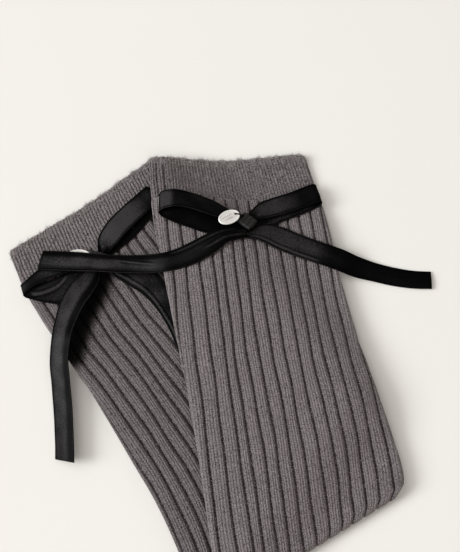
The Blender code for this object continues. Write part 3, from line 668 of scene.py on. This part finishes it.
def cuff_mesh(sock, side, seed):
    """The cuff as one closed form: fine ribs outside, a rolled lip and a plain inside."""
    face = CUFF_RIBS * CUFF_POINTS_PER_RIB
    measures = np.concatenate((np.arange(face) / face, 1.0 + np.arange(face // 3) * 3 / face))
    ribs = measures * CUFF_RIBS
    random = np.random.default_rng(seed)
    heights = 1 + 0.35 * random.uniform(-1, 1, 2 * CUFF_RIBS + 1)[np.floor(ribs).astype(int)]
    clearness = np.interp(measures, *zip(*CUFF_CLEARNESS[side]))
    # crest sets the relief of the fine ribs and the painted shade between them; the furrows deepen both.
    crest = 1 - (1 - np.abs(np.sin(math.pi * ribs)) ** 0.8) * clearness
    shade, sunk = crest, 0.0
    for place, depth, reach in CUFF_FURROWS[side]:
        furrow = np.exp(-(((measures - place) * CUFF_WIDTH / reach) ** 2))
        shade = shade * (1 - 0.9 * furrow)
        sunk = sunk + depth * furrow

    # Columns: section, distance in from the outline, how much the ring belongs to the lip, which also sets
    # the lip's painted light.
    outside = [(t, 0.45 * max(0.0, (t - SEAM_AT) / 0.05), math.exp(-((t * SECTION_LENGTH / 2.2) ** 2)))
               for t in np.linspace(1.02, 0.06, 26)]
    lip = [(0.05 - 0.03 * math.sin(angle), LIP_RADIUS * (1 - math.cos(angle)), 1.0)
           for angle in np.linspace(0, math.pi, 9)]
    inside = [(t, WALL, 0.0) for t in np.linspace(0.08, 1.0, 8)]

    rows, shades = [], []
    for k, (t, inset, rolled) in enumerate(outside + lip + inside):
        ribbed = float(k < RIBBED_RINGS)
        a, b = narrowed(sock.edges(t), inset + LIP_CORNER * max(0.0, 1 - t / 0.12) ** 2)
        wobble = 0.0012 * np.sin(t * 5 + measures * 40) + 0.0008 * np.sin(t * 13 + measures * 90)
        relief = ribbed * (CUFF_RELIEF * heights * (crest - 1) + 0.35 + 0.3 * rolled - sunk)
        share, up = tube_section(measures + wobble, (a, b), TUBE_THICK - 2 * inset, relief, CUFF_WRAP)
        ragged = 0.35 * waves(measures * CUFF_WIDTH, 0.0, 9, seed + 3)
        dip = CUFF_DIP * (1 - t) * np.sin(math.pi * np.clip(share, 0, 1)) ** 2
        dip = dip + rolled * (0.45 * (1 - crest) + ragged)
        x, y = (a + (b - a) * share[:, None] + sock.leg_direction * dip[:, None]).T
        height = sock.middle(x, y) + up + ribbed * CUFF_WAVES * waves(x, y, 26, seed)
        rows.append(np.column_stack((x, y, np.maximum(height, sock.base(x, y) + LEAST_RISE))))
        # The lip's colour is lightened as painted light.
        shades.append(shade * (1 + LIP_PAINTED_LIGHT * rolled))
    mesh = knit_mesh(np.array(rows), np.append(ribs, 2 * CUFF_RIBS), np.arange(len(rows))[:, None],
                     np.array(shades), close_rows=True)
    face_out(mesh)
    return mesh


def height_on(socks, carrier, x, y):
    """Height at which a thing clear of its carrier starts, over one point."""
    return FLOOR_CLEAR if carrier == "floor" else float(socks[carrier].top(x, y)) + RIBBON_CLEAR


def frame_on(socks, row, lift=0.0):
    """The frame of a knot or charm, its z square to the slope there, and lifted along that."""
    x, y, carrier, rise, turn = row

    def height(right, away):
        return height_on(socks, carrier, x + right, y + away)

    reach = SLOPE_REACH
    fall_x, fall_y = height(-reach, 0) - height(reach, 0), height(0, -reach) - height(0, reach)
    lean = Vector((0, 0, 1)).rotation_difference(Vector((fall_x, fall_y, 2 * reach))).to_matrix().to_4x4()
    place = Matrix.Translation((x, y, height(0, 0))) @ lean @ Matrix.Rotation(math.radians(turn), 4, "Z")
    return place @ Matrix.Translation((0, 0, rise + lift))


def ribbon_edges(name, socks, rows):
    """The lower and the upper edge of a ribbon at each of its rows, following what it lies on."""
    first_other, other = LIES_ON.get(name, (len(rows), None))
    edges = []
    for number, (x, y, rise, width, heading, tilt) in enumerate(rows):
        carrier = name.split("_")[0] if number < first_other else other
        heading, tilt = math.radians(heading), math.radians(tilt)
        row = []
        for side in (-width / 2, width / 2):
            px = x + side * math.cos(tilt) * math.cos(heading)
            py = y + side * math.cos(tilt) * math.sin(heading)
            height = height_on(socks, carrier, px, py) + rise + RIBBON_THICK / 2 - SATIN_SETTLE
            row.extend((px, py, height + side * math.sin(tilt)))
        edges.append(row)
    return np.array(edges)


def ribbon_profile():
    """Places across a ribbon as distances from its edges, and its half thickness at each."""
    near = np.array((0.0, 0.06, 0.18, 0.36, 0.56, 0.74, 0.86, 1.05))
    bead = np.sqrt(np.maximum(SATIN_BEAD ** 2 - (SATIN_BEAD - near) ** 2, 0))
    half = np.where(near > SATIN_BEAD, np.maximum(bead, SATIN_THICK / 2), bead)
    half[-1] = SATIN_THICK / 2
    return near, half


def ribbon_mesh(name, socks, rows, carriers, seed):
    """A satin ribbon as a thin closed form with beaded edges, gathered where it is drawn together; its
    colour carries painted sheen and highlights.
    """
    is_tail = "_tail_" in name
    t = np.linspace(0, len(rows) - 1, RIBBON_STEPS * (len(rows) - 1) + 1)
    edges = spline(ribbon_edges(name, socks, rows), t)
    lower, upper = edges[:, :3], edges[:, 3:]
    middle = (lower + upper) / 2
    # What changes along the ribbon is a column, so that it combines with what changes across it.
    width = np.linalg.norm(upper - lower, axis=1)[:, None]
    steps = np.linalg.norm(np.diff(middle, axis=0), axis=1)
    length = np.concatenate(([0], np.cumsum(steps)))[:, None]
    part = length / length[-1]
    across = (upper - lower) / width
    tangent = np.gradient(middle, axis=0)
    along = unit(tangent)
    normal = unit(np.cross(across, tangent))
    if normal[0, 2] < 0:
        normal = -normal

    near, half_near = ribbon_profile()
    start = np.broadcast_to(near, (len(t), len(near)))
    between = near[-1] + (width - 2 * near[-1]) * np.linspace(0, 1, RIBBON_INNER + 2)[1:-1]
    place = np.concatenate((start, between, width - start[:, ::-1]), axis=1)
    half = np.concatenate((half_near, np.full(RIBBON_INNER, SATIN_THICK / 2), half_near[::-1]))
    share = place / width
    from_edge = np.minimum(place, width - place)

    slack = np.maximum(SATIN_WIDTH / width, 1.0)
    from_knot = length if is_tail else np.minimum(length, length[-1] - length)
    gather = width / (math.pi * GATHER_FOLDS) * np.sqrt(slack - 1) * 0.9 * step((GATHER_BELOW - width) / 3.0)
    gather = gather * np.sin(2 * math.pi * GATHER_FOLDS * share + 0.6 * np.sin(length / 11 + seed) + seed)
    gather = gather * step(from_edge / 0.8) * step((GATHER_REACH - from_knot) / 6.0)
    crown = (0.55 + 0.3 * np.sin(length / 13 + 2 * seed)) * (1 - (2 * share - 1) ** 2)
    lift = gather + crown + 0.12 * waves(length, place, 16, seed)
    # Fold crests get a painted highlight, and their flanks painted shade.
    crests, flanks = 0.0, 0.0
    for first, last, at_first, at_last, fold_half, fold_height, shine in FOLDS.get(name, ()):
        runs = step((part - first) / FOLD_FADE) * step((last - part) / FOLD_FADE)
        away = np.abs(share - np.interp(part, (first, last), (at_first, at_last))) * width / fold_half
        lift = lift + fold_height * runs * np.exp(-(away ** 2))
        crests = crests + shine * runs * np.exp(-(away ** 2))
        flanks = flanks + 0.9 * runs * np.exp(-(((away - 1.7) / 0.6) ** 2))

    slant = CUT_SLANT.get(name, 0.0) * (share - 0.5) * step((length - length[-1] + 12.0) / 12.0)
    # Painted sheen along and across the ribbon.
    sheen = np.interp(part, *zip(*SATIN_SHEEN[name]))
    face = np.minimum(from_edge, 1.2 * (length[-1] - length) + 0.2) if is_tail else from_edge
    shade = np.interp(share, *zip(*SHEEN_ACROSS.get(name, ((0.0, 1.0), (1.0, 1.0)))))
    shade = shade * sheen * np.interp(face, (0.6, 0.95, 1.3, 3.0), (0.0, 0.05, 0.6, 1.0))
    shade = shade * (1 + 0.3 * waves(length, 1.6 * place, 14, seed + 40))
    shade = shade * (1 - np.minimum(flanks, 0.9)) + crests
    # Painted highlight along the beaded edges and the cut end of a tail.
    bead = BEAD_SHEEN * np.clip(0.3 + 0.7 * sheen, 0.3, 1.0)
    shade = np.maximum(shade, bead * np.interp(face, (0.45, 0.65), (1.0, 0.0)))

    flat = lower[:, None] + across[:, None] * place[..., None] + along[:, None] * slant[..., None]
    faces = []
    for side, over_knit, over_floor in ((1.0, 0.35, 0.4), (-1.0, 0.05, 0.05)):
        points = flat + normal[:, None] * (lift + side * half)[..., None]
        for carrier in carriers:
            over = carrier.inside(points[..., 0], points[..., 1]) > -0.5
            least = carrier.top(points[..., 0], points[..., 1]) + over_knit
            points[..., 2] = np.where(over, np.maximum(points[..., 2], least), points[..., 2])
        points[..., 2] = np.maximum(points[..., 2], over_floor)
        faces.append(points)
    top, bottom = faces
    grid = np.concatenate((top, bottom[:, -2:0:-1]), axis=1)
    u = np.concatenate((place, place[:, -2:0:-1], place[:, :1]), axis=1)
    mesh = knit_mesh(grid, u, length, np.concatenate((shade, shade[:, -2:0:-1]), axis=1))
    face_out(mesh, grid.shape[1])
    return mesh, (SATIN_WIDTH * MM, float(length[-1, 0]) * MM)


class Finish:
    """A material with its Principled shader, and short ways to add and link nodes."""

    def __init__(self, name, values):
        self.made = bpy.data.materials.new(name)
        self.made.use_nodes = True
        self.tree = self.made.node_tree
        self.shader = self.tree.nodes["Principled BSDF"]
        self.feed(self.shader, values)

    def feed(self, node, values):
        """Set a node's inputs, by name or number, and link those whose value is a node's output."""
        for key, value in dict(values).items():
            if isinstance(value, bpy.types.NodeSocket):
                self.tree.links.new(value, node.inputs[key])
            else:
                node.inputs[key].default_value = value

    def add(self, kind, values=(), operation=None):
        node = self.tree.nodes.new(kind)
        if operation:
            node.operation = operation
        self.feed(node, values)
        return node

    def maths(self, operation, a, b=0.0, c=0.0):
        return self.add("ShaderNodeMath", {0: a, 1: b, 2: c}, operation).outputs[0]

    def noise(self, scale, detail, roughness=0.5, place=None):
        if place is None:
            place = self.add("ShaderNodeTexCoord").outputs["Object"]
        values = {"Vector": place, "Scale": scale, "Detail": detail, "Roughness": roughness}
        return self.add("ShaderNodeTexNoise", values).outputs["Fac"]

    def attribute(self, name):
        node = self.add("ShaderNodeAttribute")
        node.attribute_name = name
        return node.outputs["Fac"]

    def knit_uv(self):
        """Across and along the cloth: wales and courses on knit, millimetres on ribbon."""
        node = self.add("ShaderNodeUVMap")
        node.uv_map = "knit"
        split = self.add("ShaderNodeSeparateXYZ", {0: node.outputs[0]})
        return split.outputs[0], split.outputs[1]

    def ramp(self, factor, stops):
        """The colour at factor; the first two stops are the outer ones."""
        node = self.add("ShaderNodeValToRGB", {0: factor})
        elements = node.color_ramp.elements
        for k, (position, colour) in enumerate(stops):
            element = elements[k] if k < 2 else elements.new(position)
            element.position = position
            element.color = (*colour, 1.0)
        return node.outputs["Color"]

    def bump(self, strength, distance, height):
        values = {"Strength": strength, "Distance": distance * MM, "Height": height}
        self.feed(self.shader, {"Normal": self.add("ShaderNodeBump", values).outputs[0]})


def knit_material(name, light, floor_tone, wale_tone, fleck_tone, dashes):
    """Knitted yarn: V stitches in columns with painted shade in their gaps, yarn flecks, and painted shade
    between the ribs, ragged and in dashes.
    """
    knit = Finish(name, {"Roughness": 0.9, "Specular IOR Level": 0.2, "Sheen Roughness": 0.5,
                         "Sheen Tint": (0.85, 0.8, 0.8, 1.0)})
    maths = knit.maths
    u, v = knit.knit_uv()
    from_middle = maths("MULTIPLY", maths("ABSOLUTE", maths("SUBTRACT", maths("FRACT", u), 0.5)), 2.0)
    slope = maths("ADD", v, maths("MULTIPLY", from_middle, 0.55))
    course = maths("ADD", maths("MULTIPLY", maths("SINE", maths("MULTIPLY", slope, 2 * math.pi)), 0.5), 0.5)
    arm = maths("SUBTRACT", 1.0, maths("POWER", from_middle, 2.6))
    stitch = maths("MULTIPLY", arm, maths("MULTIPLY_ADD", course, 0.5, 0.5))

    fleck = knit.noise(1450.0, 2.0, 0.6)
    mottle = knit.noise(95.0, 3.0, 0.6)
    stretched = {0: maths("MULTIPLY", u, 1.3), 1: maths("MULTIPLY", v, 0.45)}
    dash = knit.noise(1.0, 1.0, place=knit.add("ShaderNodeCombineXYZ", stretched).outputs[0])
    crest = knit.attribute("crest")

    # Painted shade: in the gaps between stitches, and by crest on the furrows between the ribs, ragged and
    # broken into dashes.
    tone = maths("MULTIPLY_ADD", stitch, wale_tone, 0.57 - 0.52 * wale_tone)
    tone = maths("ADD", tone, maths("MULTIPLY", maths("SUBTRACT", fleck, 0.5), fleck_tone))
    tone = maths("ADD", tone, maths("MULTIPLY", maths("SUBTRACT", mottle, 0.5), 0.25))
    furrow = maths("SUBTRACT", 1.0, crest)
    ragged = maths("MULTIPLY", furrow, maths("SUBTRACT", fleck, 0.5))
    broken = maths("MULTIPLY", furrow, maths("SUBTRACT", dash, 0.5))
    depth = maths("MULTIPLY_ADD", ragged, 5.0, maths("POWER", crest, 0.8))
    depth = maths("MAXIMUM", maths("MULTIPLY_ADD", broken, dashes, depth), 0.0)
    tone = maths("MULTIPLY", tone, maths("MULTIPLY_ADD", depth, 1 - floor_tone, floor_tone))
    colour = knit.ramp(tone, ((0.0, (0.028, 0.024, 0.024)), (1.0, light)))
    # Painted deep shade beside a raised tail darkens the colour and the sheen.
    lit = maths("SUBTRACT", 1.0, knit.attribute("painted_shade"))
    shown = knit.add("ShaderNodeVectorMath", {0: colour, "Scale": lit}, "SCALE").outputs[0]
    knit.feed(knit.shader, {"Base Color": shown, "Sheen Weight": maths("MULTIPLY", lit, 0.35)})
    knit.bump(0.9, 0.3, maths("MULTIPLY_ADD", fleck, 0.9, stitch))
    return knit.made


def satin_material(name):
    """Black satin: a fine speckle of weave, greyer where sheen is painted on, and a soft broad gloss."""
    satin = Finish(name, {"Roughness": 0.46})
    maths = satin.maths
    _u, v = satin.knit_uv()
    weft = maths("SINE", maths("MULTIPLY", v, 2 * math.pi / WEFT_LENGTH))
    speckle = satin.noise(1400.0, 2.0, 0.6)
    # crest holds the painted sheen.
    sheen = satin.attribute("crest")
    grain = maths("MULTIPLY", sheen, maths("MULTIPLY_ADD", speckle, 4.0, -1.0))
    colour = satin.ramp(grain, ((0.0, (0.002, 0.002, 0.0024)), (1.0, (0.034, 0.032, 0.033))))
    gloss = maths("MULTIPLY_ADD", maths("MINIMUM", sheen, 1.0), 0.11, 0.075)
    satin.feed(satin.shader, {"Base Color": colour, "Specular IOR Level": gloss})
    satin.bump(0.4, 0.12, maths("MULTIPLY_ADD", weft, 0.25, speckle))
    return satin.made


def plain_material(name, colour, roughness):
    """One colour all over."""
    values = {"Base Color": (*colour, 1.0), "Roughness": roughness, "Specular IOR Level": 0.2}
    return Finish(name, values).made


def metal_material(name):
    """Worn silver with a painted highlight on the rim: darker dots, a few dull patches."""
    metal = Finish(name, {"Metallic": 0.1})
    patches = metal.noise(420.0, 4.0, 0.6)
    # crest holds each charm's painted brightness and the painted highlight of its rim; the noise adds wear.
    worn_and_highlighted = metal.maths("MULTIPLY_ADD", patches, 0.5, metal.attribute("crest"))
    colour = metal.ramp(worn_and_highlighted, ((0.2, (0.30, 0.28, 0.25)), (1.0, (1.0, 0.985, 0.95)),
                               (0.72, (0.84, 0.81, 0.77))))
    rough = metal.maths("MULTIPLY_ADD", patches, 0.25, 0.16)
    metal.feed(metal.shader, {"Base Color": colour, "Roughness": rough})
    metal.bump(0.2, 0.05, patches)
    return metal.made


def floor_material(name):
    """Matt off-white surface."""
    paper = Finish(name, {"Roughness": 0.85, "Specular IOR Level": 0.2})
    colour = paper.ramp(paper.noise(6.0, 2.0), ((0.0, (0.815, 0.79, 0.755)), (1.0, (0.835, 0.815, 0.785))))
    paper.feed(paper.shader, {"Base Color": colour})
    return paper.made


def placed(name, data):
    """A new object in the scene."""
    made = bpy.data.objects.new(name, data)
    bpy.context.scene.collection.objects.link(made)
    return made


def add_piece(name, mesh, finish, node=None):
    """Put a mesh, in metres, into the scene as a piece of the object."""
    mesh.name = name
    mesh.shade_smooth()
    mesh.materials.append(finish)
    made = placed(name, mesh)
    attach(made, "root")
    if node:
        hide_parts(node)
    return made


def finished(bm, place):
    """A mesh in the model's frame from a bmesh in millimetres."""
    bm.transform(place)
    bm.transform(TO_MODEL)
    bmesh.ops.recalc_face_normals(bm, faces=bm.faces)
    mesh = bpy.data.meshes.new("piece")
    bm.to_mesh(mesh)
    bm.free()
    return mesh


def knot_mesh(socks, row):
    """A small rounded pad with the folds of the ribbon drawn over it, and painted sheen on its top."""
    bm = bmesh.new()
    bmesh.ops.create_cube(bm, size=1.0, matrix=Matrix.Diagonal((*KNOT_SIZE, 1.0)))
    bmesh.ops.subdivide_edges(bm, edges=bm.edges, cuts=23, use_grid_fill=True)
    half = [size / 2 for size in KNOT_SIZE]
    for vert in bm.verts:
        p = [vert.co[k] / half[k] for k in range(3)]
        size = sum(abs(v) ** 4 for v in p) ** 0.25
        scale = 0.35 + 0.65 * max(abs(v) for v in p) / size
        vert.co = Vector([p[k] * half[k] * scale for k in range(3)])
        wander = 0.7 * math.sin(vert.co.y * 0.5)
        folds = 0.22 * math.sin(vert.co.x * 2.3 + wander) + 0.12 * math.sin(vert.co.x * 5.1)
        vert.co.z += folds * max(0.0, p[2]) * (1 - 0.3 * abs(p[1]))
    # Painted sheen, strongest on the top and towards one side.
    sheen = [KNOT_SHEEN * max(0.0, vert.co.z / half[2]) * (1 - 0.3 * vert.co.y / half[1])
             for vert in bm.verts]
    mesh = finished(bm, frame_on(socks, row, KNOT_SIZE[2] / 2 - 0.2))
    set_values(mesh, "crest", sheen)
    return mesh


def charm_mesh(socks, row, painted_brightness):
    """An oval plate with a rounded rim, a hole at one end and two plain rows of small dots."""
    low, high = -CHARM_THICK / 2, CHARM_THICK / 2
    face = high - 0.22
    # Columns: share of the radius, height.
    profile = ((0.0, low), (0.93, low), (0.985, low + 0.12), (1.0, low + 0.35), (1.0, high - 0.3),
               (0.985, high - 0.1), (0.95, high), (0.90, high), (0.86, high - 0.06), (0.835, face),
               (0.0, face))
    bm = bmesh.new()
    points = [bm.verts.new((radius, 0.0, up)) for radius, up in profile]
    edges = [bm.edges.new(pair) for pair in zip(points, points[1:])]
    bmesh.ops.spin(bm, geom=points + edges, angle=2 * math.pi, steps=96, axis=(0, 0, 1), cent=(0, 0, 0))
    bmesh.ops.remove_doubles(bm, verts=bm.verts, dist=1e-4)
    bm.transform(Matrix.Diagonal((*CHARM_HALF, 1.0, 1.0)))
    place = frame_on(socks, row, CHARM_THICK / 2)
    drill = bmesh.new()
    bmesh.ops.create_cone(drill, cap_ends=True, segments=32, radius1=CHARM_HOLE_RADIUS,
                          radius2=CHARM_HOLE_RADIUS, depth=4 * CHARM_THICK,
                          matrix=Matrix.Translation((CHARM_HOLE_PLACE, 0, 0)))
    plate, cutter = (placed("helper", finished(form, place)) for form in (bm, drill))
    plate.modifiers.new("hole", "BOOLEAN").object = cutter
    bpy.context.view_layer.update()
    shaped = plate.evaluated_get(bpy.context.evaluated_depsgraph_get())
    mesh = bpy.data.meshes.new_from_object(shaped)
    for helper in (plate, cutter):
        bpy.data.objects.remove(helper)

    bm = bmesh.new()
    bm.from_mesh(mesh)
    plain_points = len(bm.verts)
    for row_y, count in CHARM_DOTS:
        for k in range(count):
            at = Vector(((k - (count - 1) / 2) * 1.25 - 0.9, row_y, face))
            bead = Matrix.Translation(at) @ Matrix.Diagonal((0.36, 0.36, 0.16, 1.0))
            bmesh.ops.create_icosphere(bm, subdivisions=2, radius=1.0, matrix=TO_MODEL @ place @ bead)
    bm.verts.index_update()
    to_plate = (TO_MODEL @ place).inverted()
    # Painted highlight: lighter towards the rim, all scaled by the charm's painted brightness; the dots are
    # darkest.
    tones = []
    for vert in bm.verts:
        local = to_plate @ vert.co
        rim = float(step((math.hypot(local.x / CHARM_HALF[0], local.y / CHARM_HALF[1]) - 0.82) / 0.06))
        tones.append(0.0 if vert.index >= plain_points else painted_brightness * (0.5 + 0.5 * rim))
    bm.to_mesh(mesh)
    bm.free()
    set_values(mesh, "crest", tones)
    return mesh


def charm_thread(socks, charm_row, knot_row):
    """Sewing thread: two turns from the knot over the charm's rim and down through its hole."""
    place = frame_on(socks, charm_row)
    start = frame_on(socks, knot_row) @ Vector((-3.4, 2.6, 2.6))
    points = []
    for side in (-0.22, 0.24):
        round_rim = ((7.3 + side, side - 2.9, CHARM_THICK * 0.9),
                     (6.6 + side, side - 2.0, CHARM_THICK + 0.3),
                     (5.4 + side, side - 0.7, CHARM_THICK + 0.25),
                     (CHARM_HOLE_PLACE + 0.1, side, CHARM_THICK * 0.6),
                     (CHARM_HOLE_PLACE, side, -0.25), (6.0, side - 1.4, -0.45), (7.3, side - 2.9, -0.2))
        points.extend((start + Vector((0, side, 0)), *(place @ Vector(at) for at in round_rim)))
    points.append(start - Vector((0, 0, 0.4)))
    path = spline([tuple(point) for point in points], np.linspace(0, len(points) - 1, 8 * len(points)))
    along = unit(np.gradient(path, axis=0))
    side = unit(np.cross(along, (0.31, 0.22, 0.93)))
    up = np.cross(side, along)
    angles = np.arange(8) * math.pi / 4
    rings = side[:, None] * np.cos(angles)[:, None] + up[:, None] * np.sin(angles)[:, None]
    mesh = knit_mesh(path[:, None] + THREAD_RADIUS * rings, np.arange(9) * 0.15,
                     np.arange(len(path))[:, None] * 0.3, 1.0)
    face_out(mesh, 8)
    return mesh


def fuzz_mesh(sources, seed):
    """Loose fibres on knitted meshes. Columns: mesh, first and last point, a row of FIBRES."""
    random = np.random.default_rng(seed)
    verts = []
    for mesh, first, last, (count, shortest, longest) in sources:
        place = values_of(mesh.vertices, "co", 3)[first:last]
        normal = values_of(mesh.vertices, "normal", 3)[first:last]
        shown = normal[:, 2] > -0.3
        # No loose fibres where deep shade is painted.
        if "painted_shade" in mesh.attributes:
            shown &= values_of(mesh.attributes["painted_shade"].data, "value", 1)[first:last, 0] < 0.1
        chosen = random.choice(np.flatnonzero(shown), count)
        start = place[chosen] - normal[chosen] * 0.1 * MM
        clumps = 0.7 + 0.75 * waves(start[:, 0] / MM, start[:, 1] / MM, 4.5, seed)
        length = (random.uniform(shortest, longest, count) * np.clip(clumps, 0.25, 1.5))[:, None] * MM
        lean = unit(normal[chosen] * 0.8 + random.normal(0, 0.45, (count, 3)))
        curl = random.normal(0, 0.5, (count, 3))
        side = unit(np.cross(lean, curl)) * (FIBRE_WIDTH / 2 * MM)
        middle = start + lean * length * 0.5 + curl * length * 0.16
        tip = start + lean * length * 0.85 + curl * length * 0.6
        row = np.stack((start - side, start + side, middle - side * 0.8, middle + side * 0.8, tip), axis=1)
        row[..., 2] = np.maximum(row[..., 2], 0.02 * MM)
        verts.append(row.reshape(-1, 3))
    verts = np.concatenate(verts)
    faces = []
    for a in range(0, len(verts), 5):
        faces.extend(((a, a + 1, a + 3, a + 2), (a + 2, a + 3, a + 4)))
    made = bpy.data.meshes.new("piece")
    made.from_pydata(verts.tolist(), [], faces)
    return made


def add_knit(socks):
    """Legs and cuffs, each sock with its loose fibres."""
    # The fibres' colour is lighter than the yarn, as painted light along the edges and the lip.
    fibre = plain_material("knit_fibre", (0.46, 0.425, 0.42), 0.9)
    for number, (side, sock) in enumerate(socks.items()):
        leg_knit, cuff_knit = (knit_material(f"{side}_{part}_knit", *KNIT_TONES[f"{side}_{part}"])
                               for part in ("leg", "cuff"))
        leg_form, cuff_form = leg_mesh(sock, side, 3 + number), cuff_mesh(sock, side, 11 + number)
        ring = CUFF_RIBS * CUFF_POINTS_PER_RIB * 4 // 3
        fibres = fuzz_mesh(((cuff_form, 22 * ring, 34 * ring, FIBRES["lip"]),
                            (cuff_form, 0, 26 * ring, FIBRES["cuff"]),
                            (leg_form, 0, len(leg_form.vertices), FIBRES["leg"])), 21 + number)
        leg = add_piece(f"{side}_leg_knit", leg_form, leg_knit, f"{side}_leg")
        cuff = add_piece(f"{side}_cuff_knit", cuff_form, cuff_knit, f"{side}_cuff")
        add_piece(f"{side}_fuzz", fibres, fibre)


def add_bows(socks):
    """The ribbons of both bows, then their knots."""
    satin = satin_material("black_satin")
    for number, (name, rows) in enumerate(RIBBONS.items()):
        carriers = list(socks.values()) if name.startswith("front") else [socks["back"]]
        mesh, flat = ribbon_mesh(name, socks, rows, carriers, number)
        ribbon = add_piece(f"{name}_satin", mesh, satin, name)
    for name, row in KNOTS.items():
        add_piece(f"{name}_satin", knot_mesh(socks, row), satin, name)


def add_charms(socks):
    """Metal charms and the thread that holds them."""
    thread = plain_material("black_thread", (0.012, 0.012, 0.013), 0.6)
    silver = metal_material("worn_silver")
    for name, row in CHARMS.items():
        knot_row = KNOTS[name.replace("charm", "bow_knot")]
        add_piece(f"{name}_thread", charm_thread(socks, row, knot_row), thread)
        plate = charm_mesh(socks, row, CHARM_PAINTED_BRIGHTNESS[name])
        charm = add_piece(f"{name}_plate", plate, silver, name)
        charm.data.set_sharp_from_angle(angle=math.radians(40))


def add_floor():
    """The pale surface, a hair below the model's own zero."""
    bm = bmesh.new()
    bmesh.ops.create_grid(bm, x_segments=1, y_segments=1, size=FLOOR_HALF)
    mesh = bpy.data.meshes.new("floor")
    bm.to_mesh(mesh)
    bm.free()
    mesh.materials.append(floor_material("pale_surface"))
    floor = placed("floor", mesh)
    floor.location.z = -FLOOR_DROP


def set_light(scene):
    """Light from a window at the left, a pale room, and the tones of the photograph."""
    scene.view_settings.view_transform = "Standard"
    scene.view_settings.look = "None"
    scene.view_settings.use_curve_mapping = True
    toning = scene.view_settings.curve_mapping
    for dark, darker in TONE_CURVE:
        toning.curves[3].points.new(dark, darker)
    toning.update()
    world = bpy.data.worlds.new("studio")
    scene.world = world
    world.use_nodes = True
    sky = world.node_tree.nodes["Background"]
    sky.inputs["Color"].default_value = SKY_COLOUR
    sky.inputs["Strength"].default_value = SKY_STRENGTH
    for name, direction, size, power, colour in LIGHTS:
        lamp = bpy.data.lights.new(name, "AREA")
        lamp.shape = "DISK"
        lamp.size = size
        lamp.energy = power
        lamp.color = colour
        towards = Vector(direction).normalized()
        holder = placed(name, lamp)
        holder.location = towards * LIGHT_DISTANCE
        holder.rotation_euler = towards.to_track_quat("Z", "Y").to_euler()


def set_camera(scene):
    """The camera looks at the table point (0, 0), tilted from straight down."""
    tilt = math.radians(CAMERA_TILT)
    camera = bpy.data.cameras.new("camera")
    camera.lens = CAMERA_LENS
    camera.clip_start = 0.01
    camera.clip_end = 20.0
    holder = placed("camera", camera)
    away = Vector((0.0, -math.sin(tilt), math.cos(tilt))) * CAMERA_DISTANCE
    holder.location = (away - Vector(CENTRE)) * MM
    holder.rotation_euler = (tilt, 0.0, 0.0)
    scene.camera = holder


def main():
    back = Sock(BACK_SECTIONS)
    socks = {"back": back, "front": Sock(FRONT_SECTIONS, carrier=back)}
    add_knit(socks)
    add_bows(socks)
    add_charms(socks)
    add_floor()
    set_light(bpy.context.scene)
    set_camera(bpy.context.scene)


main()
